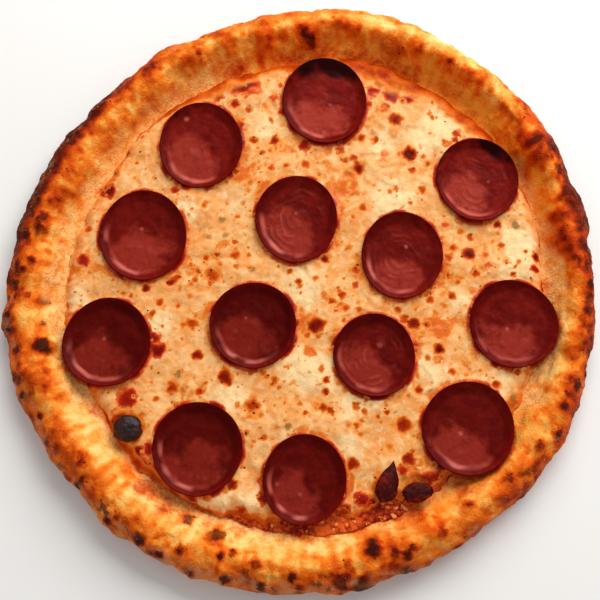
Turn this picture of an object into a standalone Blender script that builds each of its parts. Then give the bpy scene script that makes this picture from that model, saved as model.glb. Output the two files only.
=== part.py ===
"""Whole pepperoni pizza: a raised, blistered crust, sauce, cheese and thirteen cupped slices.

Metres, +Z up. The origin is on the surface that the pizza rests on, under the middle of its outline.
The round layers are turned flat, then laid into the crust's dish and shaped to its uneven outline.
Azimuths are in degrees, anticlockwise from +X as seen from above.
"""

import math

import bmesh
import bpy
from mathutils import Euler, Matrix, Vector, noise

MM = 0.001
OBJECT_NAME = "pepperoni_pizza"
CLEARANCE = 0.3 * MM  # between pieces that lie on each other
SLOPE_CLEARANCE = 1.5 * CLEARANCE  # upright, so that the clearance is kept on the rim's slope too
MERGE_DISTANCE = 0.01 * MM

# Outline: an oval, with its far left side pressed in. Radii run from the hub.
HUB = Vector((0.3 * MM, 1.75 * MM, 0.0))  # puts the middle of the outline on the Z axis
MEAN_RADIUS = 151.0 * MM
OVALNESS = 2.0 * MM
PRESSED_SIDES = ((108.0, 42.0, 7.6 * MM), (147.0, 46.0, 6.0 * MM))  # azimuth, half width, depth
OUTLINE_WAVES = ((5, 40.0, 0.5 * MM), (9, 200.0, 0.35 * MM))  # count, azimuth, size

# Rim: its width runs from the edge to where the dish starts to rise.
RIM_WIDTH = 28.5 * MM
RIM_WIDTH_SWING = 3.0 * MM
RIM_WIDEST_AT = 210.0
RIM_HEIGHT = 19.0 * MM
RIM_CREST_INSET = 12.0 * MM
RIM_BELLY_HEIGHT = 8.0 * MM
RIM_FOOT_INSET = 10.0 * MM
RIM_HEIGHT_WAVES = ((2, 75.0, 0.045), (5, 10.0, 0.035), (7, 160.0, 0.025))  # count, azimuth, share
DISH_HEIGHT = 5.0 * MM
SHAPED_FROM = 60.0 * MM  # the outline's unevenness fades out inside this radius
CRUST_STEPS = 108
RIM_INNER_STEPS = 5
RIM_OUTER_STEPS = 4
RIM_LOWER_STEPS = 4

# Crags of the rim, as uneven relief and as single blisters.
CRAG_HEIGHT = 2.4 * MM
CRAG_SCALE = 19.0 * MM
FINE_CRAG_SHARE = 0.45
FINE_CRAG_SCALE = 9.0 * MM
BLISTERS = (  # azimuth, radius, half width, height
    (-75.0, 137.0 * MM, 7.5 * MM, 2.4 * MM),
    (-107.0, 132.0 * MM, 6.0 * MM, 1.4 * MM),
    (-69.0, 142.0 * MM, 5.0 * MM, 1.2 * MM),
    (168.0, 133.0 * MM, 8.0 * MM, 1.8 * MM),
    (7.0, 139.0 * MM, 10.0 * MM, 1.6 * MM),
    (17.0, 142.0 * MM, 7.0 * MM, 1.8 * MM),
    (30.0, 139.0 * MM, 11.0 * MM, 1.8 * MM),
    (98.0, 130.0 * MM, 9.0 * MM, 1.8 * MM),
    (140.0, 138.0 * MM, 8.0 * MM, 1.2 * MM),
    (-164.0, 131.0 * MM, 8.0 * MM, 1.6 * MM),
    (-36.0, 142.0 * MM, 7.0 * MM, 1.4 * MM),
    (-138.0, 139.0 * MM, 9.0 * MM, 1.4 * MM),
    (62.0, 138.0 * MM, 12.0 * MM, 1.2 * MM),
)

# Sauce: a thin layer that shows where the cheese stops short of the rim.
SAUCE_THICKNESS = 1.0 * MM
SAUCE_EDGE_THICKNESS = 0.6 * MM
SAUCE_REACH = 3.6 * MM  # past the foot of the rim's inner slope
SAUCE_DRAW_IN = 3.0 * MM  # away from the bare stretch
BARE_AZIMUTH = -80.0
BARE_HALF_WIDTH = 42.0
SAUCE_HALF_WIDTH = 63.0
BARE_DEPTH = 5.5 * MM

# Cheese
CHEESE_THICKNESS = 3.3 * MM
CHEESE_UNDER = 2.0 * SLOPE_CLEARANCE + SAUCE_THICKNESS  # its underside, above the dish
CHEESE_EDGE_THICKNESS = 0.7 * MM
CHEESE_REACH = 1.2 * MM
CHEESE_STEPS = 64
CHEESE_RING_RADII = tuple(radius * MM for radius in (16.0, 34.0, 52.0, 70.0, 86.0, 99.0, 110.0, 118.0))
CHEESE_EDGE_WAVES = ((7, 0.0, 0.7 * MM), (12, 30.0, 0.5 * MM))
CHEESE_RELIEF = 1.3 * MM
CHEESE_RELIEF_SCALE = 16.0 * MM
FADE_FROM = 96.0 * MM  # the layers' edges are drawn in outside this radius

# Slices: shallow cups, sunk a little into the cheese.
SLICE_THICKNESS = 1.9 * MM
CUP_HEIGHT = 4.6 * MM
CUP_STEPS = 20
CUP_FLOOR_SHARE = 0.70  # shares of the slice's radius
CUP_BEND_SHARE = 0.91
CUP_INNER_SHARE = 0.93
CUP_LIP_SHARE = 0.975
CUP_BEND_HEIGHT = 1.0 * MM
CUP_INNER_DROP = 0.9 * MM  # below the lip
CUP_OUTER_DROP = 0.7 * MM
CUP_LID_HEIGHT = 14.0 * MM  # top of the room cut for a slice
SLICE_EDGE_WAVES = ((2.0, 1.0, 0.012), (3.0, 2.3, 0.008))  # count, phase a slice, share
LIP_WAVE = (2.0, 1.7, 0.6 * MM)  # count, phase a slice, height
LIP_FROM = 0.4 * CUP_HEIGHT
SLICE_SINK = 1.7 * MM
SLICE_TILT_SHARE = 0.75
SLICE_REACH_SHARE = 0.48  # of its length, out to where it leans on the rim
SLICES = (  # x, y, width, length
    (-51.3 * MM, 71.2 * MM, 42.5 * MM, 47.8 * MM),
    (12.9 * MM, 96.0 * MM, 43.6 * MM, 48.6 * MM),
    (91.0 * MM, 52.2 * MM, 42.1 * MM, 45.0 * MM),
    (-79.5 * MM, 22.3 * MM, 44.6 * MM, 47.4 * MM),
    (-1.8 * MM, 31.1 * MM, 42.2 * MM, 46.0 * MM),
    (51.4 * MM, 11.8 * MM, 41.3 * MM, 45.6 * MM),
    (-95.5 * MM, -32.9 * MM, 43.3 * MM, 45.0 * MM),
    (-23.3 * MM, -24.1 * MM, 42.5 * MM, 44.2 * MM),
    (105.9 * MM, -23.6 * MM, 43.5 * MM, 45.0 * MM),
    (36.6 * MM, -39.4 * MM, 40.7 * MM, 41.4 * MM),
    (-49.4 * MM, -85.1 * MM, 44.1 * MM, 44.8 * MM),
    (2.1 * MM, -99.8 * MM, 40.4 * MM, 43.0 * MM),
    (81.4 * MM, -75.6 * MM, 44.3 * MM, 46.2 * MM),
)

# Charred scraps, pressed into the cheese.
SCRAP_STEPS = 12
SCRAP_RINGS = 8
SCRAP_SINK = 1.2 * MM
SCRAP_UNEVENNESS = 0.12
SCRAP_LUMPINESS = 1.7
SCRAPS = (  # name, x, y, width, length, height, turn in degrees, taper towards its tip
    ("charred_bubble", -83.4 * MM, -75.5 * MM, 14.0 * MM, 13.0 * MM, 6.0 * MM, 20.0, 0.0),
    ("crisp_leaf_scrap", 42.3 * MM, -100.9 * MM, 9.0 * MM, 21.0 * MM, 4.0 * MM, -24.0, 0.75),
    ("crisp_round_scrap", 56.0 * MM, -105.8 * MM, 14.5 * MM, 9.5 * MM, 4.0 * MM, 12.0, 0.2),
)

# Colours, with roughness; none of it is metallic.
CRUST_FINISH = ((0.62, 0.30, 0.10, 1.0), 0.75)
SAUCE_FINISH = ((0.50, 0.09, 0.02, 1.0), 0.35)
CHEESE_FINISH = ((0.86, 0.66, 0.34, 1.0), 0.40)
SLICE_FINISH = ((0.22, 0.02, 0.02, 1.0), 0.30)
CHAR_FINISH = ((0.05, 0.02, 0.015, 1.0), 0.30)


def clear_scene():
    """Remove every object of the start-up scene."""
    for scene_object in list(bpy.data.objects):
        bpy.data.objects.remove(scene_object, do_unlink=True)


def new_collection(name):
    """Return a new collection, linked to the scene."""
    collection = bpy.data.collections.new(name)
    bpy.context.scene.collection.children.link(collection)
    return collection


def make_material(name, finish):
    """Return a Principled material of one colour and roughness."""
    colour, roughness = finish
    material = bpy.data.materials.new(name)
    material.use_nodes = True
    shader = material.node_tree.nodes["Principled BSDF"]
    shader.inputs["Base Color"].default_value = colour
    shader.inputs["Roughness"].default_value = roughness
    shader.inputs["Metallic"].default_value = 0.0
    material.diffuse_color = colour
    return material


def bump(azimuth, middle, half_width):
    """Return a smooth bump of height 1 round a middle azimuth, 0 outside its half width."""
    away = abs((azimuth - middle + 180.0) % 360.0 - 180.0)
    if away >= half_width:
        return 0.0
    return 0.5 + 0.5 * math.cos(math.pi * away / half_width)


def waves(azimuth, terms):
    """Return the sum of waves, each given by its count round the circle, its azimuth and its size."""
    return sum(size * math.cos(math.radians(count * (azimuth - start))) for count, start, size in terms)


def outer_radius(azimuth):
    """Return the distance from the hub to the crust's edge."""
    radius = MEAN_RADIUS - OVALNESS * math.cos(math.radians(2.0 * azimuth)) + waves(azimuth, OUTLINE_WAVES)
    for middle, half_width, depth in PRESSED_SIDES:
        radius -= depth * bump(azimuth, middle, half_width)
    return radius


def dish_radius(azimuth):
    """Return the distance from the hub to the foot of the rim's inner slope."""
    swing = RIM_WIDTH_SWING * math.cos(math.radians(azimuth - RIM_WIDEST_AT))
    return outer_radius(azimuth) - RIM_WIDTH - swing


TURNED_DISH_RADIUS = MEAN_RADIUS - RIM_WIDTH
TURNED_CREST_RADIUS = MEAN_RADIUS - RIM_CREST_INSET


def shaped_radius(turned_radius, azimuth):
    """Return where a radius of the evenly turned pizza lies once the outline is uneven."""
    if turned_radius >= TURNED_DISH_RADIUS:
        share = (turned_radius - TURNED_DISH_RADIUS) / RIM_WIDTH
        return dish_radius(azimuth) + share * (outer_radius(azimuth) - dish_radius(azimuth))
    reach = max(0.0, turned_radius - SHAPED_FROM) / (TURNED_DISH_RADIUS - SHAPED_FROM)
    return turned_radius + reach * (dish_radius(azimuth) - TURNED_DISH_RADIUS)


def turned_radius_at(radius, azimuth):
    """Return the radius of the evenly turned pizza that lands on a radius of the shaped one."""
    inner, outer = 0.0, MEAN_RADIUS
    for _ in range(30):
        middle = (inner + outer) / 2.0
        if shaped_radius(middle, azimuth) < radius:
            inner = middle
        else:
            outer = middle
    return (inner + outer) / 2.0


def rim_inner_points():
    """Return the rim's inner slope as radius and height, from the dish up to the crest."""
    points = []
    for step in range(RIM_INNER_STEPS + 1):
        share = step / RIM_INNER_STEPS
        radius = TURNED_DISH_RADIUS + share * (TURNED_CREST_RADIUS - TURNED_DISH_RADIUS)
        rise = math.sin(math.pi / 2.0 * share) ** 2
        points.append((radius, DISH_HEIGHT + rise * (RIM_HEIGHT - DISH_HEIGHT)))
    return points


def rim_outer_points():
    """Return the rim's outer side, from below the crest down to its widest height."""
    points = []
    for step in range(1, RIM_OUTER_STEPS + 1):
        angle = math.pi / 2.0 * step / RIM_OUTER_STEPS
        radius = TURNED_CREST_RADIUS + RIM_CREST_INSET * math.sin(angle)
        points.append((radius, RIM_BELLY_HEIGHT + (RIM_HEIGHT - RIM_BELLY_HEIGHT) * math.cos(angle)))
    return points


def rim_lower_points():
    """Return the rim's lower side, from its widest height down to the edge of the flat underside."""
    points = []
    foot_radius = MEAN_RADIUS - RIM_FOOT_INSET
    for step in range(1, RIM_LOWER_STEPS + 1):
        angle = math.pi / 2.0 * step / RIM_LOWER_STEPS
        radius = foot_radius + RIM_FOOT_INSET * math.cos(angle)
        points.append((radius, RIM_BELLY_HEIGHT * (1.0 - math.sin(angle))))
    return points


def dish_height(turned_radius):
    """Return the height of the crust's upper face inside the crest, along the profile's straight runs."""
    points = rim_inner_points()
    if turned_radius <= points[0][0]:
        return points[0][1]
    for (inner_radius, inner_height), (radius, height) in zip(points, points[1:]):
        if turned_radius <= radius:
            share = (turned_radius - inner_radius) / (radius - inner_radius)
            return inner_height + share * (height - inner_height)
    return points[-1][1]


def turn(name, profile, steps, collection, material):
    """Turn a profile of radius and height round the Z axis into a closed mesh object."""
    mesh = bpy.data.meshes.new(name)
    edges = [(index, index + 1) for index in range(len(profile) - 1)]
    mesh.from_pydata([(radius, 0.0, height) for radius, height in profile], edges, [])
    turned = bpy.data.objects.new(name, mesh)
    collection.objects.link(turned)
    screw = turned.modifiers.new("turn", "SCREW")
    screw.steps = steps
    screw.render_steps = steps
    screw.use_merge_vertices = True
    screw.merge_threshold = MERGE_DISTANCE
    bake_modifiers(turned)
    mesh = turned.data
    mesh.materials.append(material)
    mesh.shade_smooth()
    mesh.set_sharp_from_angle(angle=math.radians(50.0))
    return turned


def bake_modifiers(piece):
    """Replace an object's mesh by its evaluated mesh, with vertices that coincide merged."""
    depsgraph = bpy.context.evaluated_depsgraph_get()
    baked = bpy.data.meshes.new_from_object(piece.evaluated_get(depsgraph))
    piece.modifiers.clear()
    old_mesh = piece.data
    piece.data = baked
    bpy.data.meshes.remove(old_mesh)
    work = bmesh.new()
    work.from_mesh(baked)
    bmesh.ops.remove_doubles(work, verts=work.verts, dist=MERGE_DISTANCE)
    bmesh.ops.recalc_face_normals(work, faces=work.faces)
    work.to_mesh(baked)
    work.free()
    baked.name = piece.name


def polar(point):
    """Return a point's radius and azimuth."""
    return math.hypot(point.x, point.y), math.degrees(math.atan2(point.y, point.x))


def placed(radius, azimuth, height):
    """Return the point at a radius and azimuth from the hub."""
    angle = math.radians(azimuth)
    return HUB + Vector((radius * math.cos(angle), radius * math.sin(angle), height))


def rim_rise(height, turned_radius, azimuth):
    """Return a height with the rim's own ups and downs, which the dish and underside don't have."""
    if turned_radius <= TURNED_DISH_RADIUS or height <= DISH_HEIGHT:
        return height
    return DISH_HEIGHT + (height - DISH_HEIGHT) * (1.0 + waves(azimuth, RIM_HEIGHT_WAVES))


def crag_relief(point, turned_radius, azimuth, height):
    """Return how far the rim's surface stands out at a point."""
    clear_of_sauce = TURNED_DISH_RADIUS + 2.0 * SAUCE_REACH
    if turned_radius < clear_of_sauce or height <= RIM_BELLY_HEIGHT / 2.0:
        return 0.0
    relief = noise.noise(point / CRAG_SCALE) + FINE_CRAG_SHARE * noise.noise(point / FINE_CRAG_SCALE)
    relief *= CRAG_HEIGHT
    for blister_azimuth, radius, half_width, size in BLISTERS:
        middle = placed(radius, blister_azimuth, 0.0)
        away = math.hypot(point.x - middle.x, point.y - middle.y)
        if away < half_width:
            relief += size * (0.5 + 0.5 * math.cos(math.pi * away / half_width))
    return relief


def shape_crust(crust):
    """Give the turned crust its uneven outline, rim and crags."""
    mesh = crust.data
    normals = [vertex.normal.copy() for vertex in mesh.vertices]
    for vertex, normal in zip(mesh.vertices, normals):
        turned_radius, azimuth = polar(vertex.co)
        height = rim_rise(vertex.co.z, turned_radius, azimuth)
        point = placed(shaped_radius(turned_radius, azimuth), azimuth, height)
        relief = crag_relief(point, turned_radius, azimuth, vertex.co.z)
        vertex.co = point + relief * normal


def drawn_in(turned_radius, edge_radius, depth):
    """Return a layer's radius after its edge is drawn in, a share of the way further inside."""
    share = max(0.0, turned_radius - FADE_FROM) / (edge_radius - FADE_FROM)
    return turned_radius - depth * share


def lay_in_dish(layer, edge_radius, edge_depth):
    """Lay a layer, turned flat on Z = 0, over the dish and the foot of the rim.

    edge_depth gives how far the layer's edge is drawn in at an azimuth.
    """
    for vertex in layer.data.vertices:
        turned_radius, azimuth = polar(vertex.co)
        radius = drawn_in(turned_radius, edge_radius, edge_depth(azimuth))
        height = rim_rise(dish_height(radius), radius, azimuth) + vertex.co.z
        vertex.co = placed(shaped_radius(radius, azimuth), azimuth, height)


def sauce_edge_depth(azimuth):
    """Return how far the sauce's edge is drawn in."""
    return SAUCE_DRAW_IN * (1.0 - bump(azimuth, BARE_AZIMUTH, SAUCE_HALF_WIDTH))


def cheese_edge_depth(azimuth):
    """Return how far the cheese's edge is drawn in."""
    uneven = sum(size for _, _, size in CHEESE_EDGE_WAVES) + waves(azimuth, CHEESE_EDGE_WAVES)
    return uneven + BARE_DEPTH * bump(azimuth, BARE_AZIMUTH, BARE_HALF_WIDTH)


def build_crust(collection):
    """Build the crust: dish, rim and flat underside in one piece."""
    profile = [(0.0, DISH_HEIGHT)]
    profile += rim_inner_points() + rim_outer_points() + rim_lower_points()
    profile.append((0.0, 0.0))
    crust = turn("crust", profile, CRUST_STEPS, collection, make_material("crust", CRUST_FINISH))
    shape_crust(crust)
    return crust


def build_sauce(collection):
    """Build the thin layer of sauce between crust and cheese."""
    edge_radius = TURNED_DISH_RADIUS + SAUCE_REACH
    under = SLOPE_CLEARANCE
    over = under + SAUCE_THICKNESS
    profile = [
        (0.0, over),
        (TURNED_DISH_RADIUS, over),
        (edge_radius, under + SAUCE_EDGE_THICKNESS),
        (edge_radius, under),
        (TURNED_DISH_RADIUS, under),
        (0.0, under),
    ]
    sauce = turn("tomato_sauce", profile, CRUST_STEPS, collection, make_material("sauce", SAUCE_FINISH))
    lay_in_dish(sauce, edge_radius, sauce_edge_depth)
    return sauce


def build_cheese(collection):
    """Build the cheese, with a thin uneven edge and soft relief on top."""
    edge_radius = TURNED_DISH_RADIUS + CHEESE_REACH
    over = CHEESE_UNDER + CHEESE_THICKNESS
    profile = [(0.0, over)]
    profile += [(radius, over) for radius in CHEESE_RING_RADII]
    profile += [
        (edge_radius, CHEESE_UNDER + CHEESE_EDGE_THICKNESS),
        (edge_radius, CHEESE_UNDER),
        (CHEESE_RING_RADII[-1], CHEESE_UNDER),
        (0.0, CHEESE_UNDER),
    ]
    cheese = turn("cheese", profile, CHEESE_STEPS, collection, make_material("cheese", CHEESE_FINISH))
    for vertex in cheese.data.vertices:
        if vertex.co.z > over - CLEARANCE:
            vertex.co.z += CHEESE_RELIEF * noise.noise(vertex.co / CHEESE_RELIEF_SCALE)
    lay_in_dish(cheese, edge_radius, cheese_edge_depth)
    return cheese


def cup_profile(growth):
    """Return the section of a slice of radius 1, as shares of its radius and heights in metres."""
    outside = [
        (1.0, CUP_HEIGHT - CUP_OUTER_DROP),
        (CUP_BEND_SHARE, CUP_BEND_HEIGHT - growth / 2.0),
        (CUP_FLOOR_SHARE, -growth),
        (0.0, -growth),
    ]
    if growth > 0.0:
        return [(0.0, CUP_LID_HEIGHT), (1.0, CUP_LID_HEIGHT)] + outside
    inside = [
        (0.0, SLICE_THICKNESS),
        (CUP_FLOOR_SHARE, SLICE_THICKNESS),
        (CUP_INNER_SHARE, CUP_HEIGHT - CUP_INNER_DROP),
        (CUP_LIP_SHARE, CUP_HEIGHT),
    ]
    return inside + outside


def surface_height(x, y):
    """Return the height of the cheese, or of what lies past its edge, at a place seen from the hub."""
    radius = math.hypot(x, y)
    azimuth = math.degrees(math.atan2(y, x))
    turned_radius = turned_radius_at(radius, azimuth)
    bed = rim_rise(dish_height(turned_radius), turned_radius, azimuth)
    cover = CHEESE_UNDER + CHEESE_THICKNESS
    past_edge = max(0.0, turned_radius - TURNED_DISH_RADIUS)
    return bed + max(2.0 * CLEARANCE, cover - past_edge)


def slice_placement(x, y, length):
    """Return where a slice lies, leaned against the rim if it reaches that far."""
    outward = Vector((x, y, 0.0)).normalized()
    reach = SLICE_REACH_SHARE * length
    outer = surface_height(x + outward.x * reach, y + outward.y * reach)
    inner = surface_height(x - outward.x * reach, y - outward.y * reach)
    lean = SLICE_TILT_SHARE * max(0.0, outer - inner) / (2.0 * reach)
    axis = Vector((outward.y, -outward.x, 0.0))
    height = surface_height(0.0, 0.0) - SLICE_SINK + lean * reach / 2.0
    return Matrix.Translation(HUB + Vector((x, y, height))) @ Matrix.Rotation(lean, 4, axis)


def phased_wave(azimuth, number, count, phase, size):
    """Return a wave round a slice, which starts elsewhere on each slice."""
    return size * math.sin(math.radians(count * azimuth) + phase * number)


def shape_slice(piece, number, width, length, growth):
    """Stretch a turned slice of radius 1 to its size, and make its edge uneven."""
    for vertex in piece.data.vertices:
        share, azimuth = polar(vertex.co)
        uneven = sum(phased_wave(azimuth, number, *term) for term in SLICE_EDGE_WAVES)
        height = vertex.co.z
        if LIP_FROM < height <= CUP_HEIGHT:
            height += phased_wave(azimuth, number, *LIP_WAVE)
        angle = math.radians(azimuth)
        grown = share * (1.0 + uneven)
        edge = growth if share > 0.0 else 0.0
        vertex.co.x = (grown * width / 2.0 + edge) * math.cos(angle)
        vertex.co.y = (grown * length / 2.0 + edge) * math.sin(angle)
        vertex.co.z = height


def build_slice(number, collection, growth, material):
    """Build one slice, or with a growth above 0 the cutter that makes room for it."""
    x, y, width, length = SLICES[number - 1]
    name = f"pepperoni_{number:02d}" if growth == 0.0 else f"slice_room_{number:02d}"
    piece = turn(name, cup_profile(growth), CUP_STEPS, collection, material)
    shape_slice(piece, number, width, length, growth)
    piece.data.transform(slice_placement(x, y, length))
    return piece


def build_scrap(scrap, collection, growth, material):
    """Build a flattened, uneven scrap, or with a growth above 0 the cutter that makes room for it."""
    name, x, y, width, length, height, turn_degrees, taper = scrap
    mesh = bpy.data.meshes.new(name)
    work = bmesh.new()
    bmesh.ops.create_uvsphere(work, u_segments=SCRAP_STEPS, v_segments=SCRAP_RINGS, radius=1.0)
    for vertex in work.verts:
        spot = vertex.co * SCRAP_LUMPINESS + Vector((x, y, 0.0)) / MM
        uneven = 1.0 + SCRAP_UNEVENNESS * noise.noise(spot)
        narrowed = 1.0 - taper * max(0.0, vertex.co.y) ** 2
        vertex.co.x *= narrowed * (uneven * width / 2.0 + growth)
        vertex.co.y *= uneven * length / 2.0 + growth
        vertex.co.z *= uneven * height / 2.0 + growth
    work.to_mesh(mesh)
    work.free()
    mesh.materials.append(material)
    mesh.shade_smooth()
    ground = surface_height(x, y) + height / 2.0 - SCRAP_SINK
    turned = Euler((0.0, 0.0, math.radians(turn_degrees))).to_matrix().to_4x4()
    mesh.transform(Matrix.Translation(HUB + Vector((x, y, ground))) @ turned)
    piece = bpy.data.objects.new(name if growth == 0.0 else f"room_{name}", mesh)
    collection.objects.link(piece)
    return piece


def build_cutters(cutters):
    """Build the rooms of the slices and scraps, which are never seen."""
    unseen = make_material("cutter", CHAR_FINISH)
    for number in range(1, len(SLICES) + 1):
        build_slice(number, cutters, CLEARANCE, unseen)
    for scrap in SCRAPS:
        build_scrap(scrap, cutters, CLEARANCE, unseen)
    for cutter in cutters.objects:
        split_into_triangles(cutter)
        cutter.hide_render = True
        cutter.display_type = "WIRE"


def cut_rooms(layer, cutters):
    """Cut the rooms of the slices and scraps out of a layer."""
    split_into_triangles(layer)
    cut = layer.modifiers.new("rooms", "BOOLEAN")
    cut.operation = "DIFFERENCE"
    cut.operand_type = "COLLECTION"
    cut.collection = cutters
    cut.solver = "EXACT"
    bake_modifiers(layer)
    keep_largest_body(layer)


def connected_vertices(start):
    """Return the vertices that edges join to a vertex, itself included."""
    found = {start}
    waiting = [start]
    while waiting:
        vertex = waiting.pop()
        for edge in vertex.link_edges:
            neighbour = edge.other_vert(vertex)
            if neighbour not in found:
                found.add(neighbour)
                waiting.append(neighbour)
    return found


def split_into_triangles(piece):
    """Split a piece's faces into triangles, so that each is flat."""
    work = bmesh.new()
    work.from_mesh(piece.data)
    bmesh.ops.triangulate(work, faces=work.faces)
    work.to_mesh(piece.data)
    work.free()


def keep_largest_body(piece):
    """Drop the scraps that a cut has left loose."""
    work = bmesh.new()
    work.from_mesh(piece.data)
    left = set(work.verts)
    bodies = []
    while left:
        body = connected_vertices(next(iter(left)))
        left -= body
        bodies.append(body)
    bodies.sort(key=len)
    for scrap in bodies[:-1]:
        bmesh.ops.delete(work, geom=list(scrap), context="VERTS")
    work.to_mesh(piece.data)
    work.free()


def build_pizza():
    """Build every piece of the pizza in its collection."""
    clear_scene()
    pizza = new_collection(OBJECT_NAME)
    cutters = new_collection("cutters")
    build_cutters(cutters)
    for build_layer in (build_crust, build_sauce, build_cheese):
        cut_rooms(build_layer(pizza), cutters)
    pepperoni = make_material("pepperoni", SLICE_FINISH)
    for number in range(1, len(SLICES) + 1):
        build_slice(number, pizza, 0.0, pepperoni)
    char = make_material("char", CHAR_FINISH)
    for scrap in SCRAPS:
        build_scrap(scrap, pizza, 0.0, char)


build_pizza()
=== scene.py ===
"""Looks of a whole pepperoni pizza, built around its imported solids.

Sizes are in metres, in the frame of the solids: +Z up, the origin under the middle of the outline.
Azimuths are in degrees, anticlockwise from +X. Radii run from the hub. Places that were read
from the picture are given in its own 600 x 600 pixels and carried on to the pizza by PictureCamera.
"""

import logging
import math
from dataclasses import dataclass
from enum import Enum
from typing import Any, Optional, Sequence, Union

import bpy
import numpy as np
from mathutils import Matrix, Vector, noise


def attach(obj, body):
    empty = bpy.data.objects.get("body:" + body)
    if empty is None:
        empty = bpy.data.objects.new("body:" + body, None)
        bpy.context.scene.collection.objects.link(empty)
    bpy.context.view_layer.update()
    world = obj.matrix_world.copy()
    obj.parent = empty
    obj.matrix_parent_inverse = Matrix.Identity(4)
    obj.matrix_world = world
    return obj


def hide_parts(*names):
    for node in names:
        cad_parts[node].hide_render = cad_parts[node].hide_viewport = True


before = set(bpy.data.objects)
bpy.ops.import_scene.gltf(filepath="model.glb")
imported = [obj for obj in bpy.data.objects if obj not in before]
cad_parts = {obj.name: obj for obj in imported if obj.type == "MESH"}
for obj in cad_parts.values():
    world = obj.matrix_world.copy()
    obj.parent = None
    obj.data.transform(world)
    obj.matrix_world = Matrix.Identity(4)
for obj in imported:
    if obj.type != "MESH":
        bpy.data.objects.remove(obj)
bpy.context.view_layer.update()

LOG = logging.getLogger("pizza")
MM = 0.001
BODY = "root"

Array = np.ndarray
Number = Union[float, Array]
Colour = tuple[float, float, float, float]
Spots = Sequence[tuple[float, float, float, float]]  # place, radius and strength of each
Sides = Sequence[tuple[float, float, float]]  # azimuth, half width and size of each
Layers = Sequence[tuple[float, float, float]]  # height, lump size and shift of each


class Slot(Enum):
    """The record's material slots."""

    CRUST = "crust"
    SAUCE = "sauce"
    CHEESE = "cheese"
    PEPPERONI = "pepperoni"
    CHAR = "char"


def smooth(low: float, high: float, value: Number) -> Number:
    """Ease from 0 to 1 between two limits.

    Args:
        low: where the result is still 0.
        high: where the result reaches 1.
        value: the number or numbers to ease.

    Returns:
        The eased share.
    """
    share = np.clip((value - low) / (high - low), 0.0, 1.0)
    return share * share * (3.0 - 2.0 * share)


def bump(azimuth: Number, middle: float, half_width: float) -> Number:
    """Return a smooth bump of height 1 round a middle azimuth.

    Args:
        azimuth: degrees.
        middle: the bump's azimuth.
        half_width: how far it reaches to either side.

    Returns:
        A share from 0 to 1.
    """
    away = np.abs((azimuth - middle + 180.0) % 360.0 - 180.0)
    return dome(away / half_width)


def dome(away: Number) -> Number:
    """Return a smooth dome, 1 in its middle and 0 from a distance of 1 on."""
    return np.where(away < 1.0, 0.5 + 0.5 * np.cos(np.pi * np.minimum(away, 1.0)), 0.0)


def unit(value: Number) -> Number:
    """Return numbers kept between 0 and 1."""
    return np.clip(value, 0.0, 1.0)


def waves(azimuth: Number, terms: Sequence[tuple[float, float, float]]) -> Number:
    """Return a sum of waves round the circle.

    Args:
        azimuth: degrees.
        terms: the count, starting azimuth and size of each wave.

    Returns:
        The sum.
    """
    return sum(size * np.cos(np.radians(count * (azimuth - start))) for count, start, size in terms)


def relief(points: Array, scale: float, shift: Number = 0.0) -> Array:
    """Return soft noise at points.

    Args:
        points: one row of three coordinates a point.
        scale: the size of a lump.
        shift: moves to another part of the noise, by one number or by three.

    Returns:
        Values from about -0.7 to 0.7.
    """
    return np.array([noise.noise(place) for place in (points / scale + shift).tolist()])


def layered(points: Array, layers: Layers) -> Array:
    """Return the sum of layers of soft noise, each with its own height, lump size and shift."""
    return sum(height * relief(points, scale, shift) for height, scale, shift in layers)


def ridged(points: Array, scale: float, shift: float) -> Array:
    """Return noise that runs in thin ridges, from 0 to 1."""
    return np.clip(1.0 - 3.2 * np.abs(relief(points, scale, shift)), 0.0, 1.0)


def flat_points(xs: Array, ys: Array) -> Array:
    """Return points on Z = 0 from their coordinates."""
    return np.stack([xs, ys, np.zeros_like(xs)], axis=1)


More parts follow.
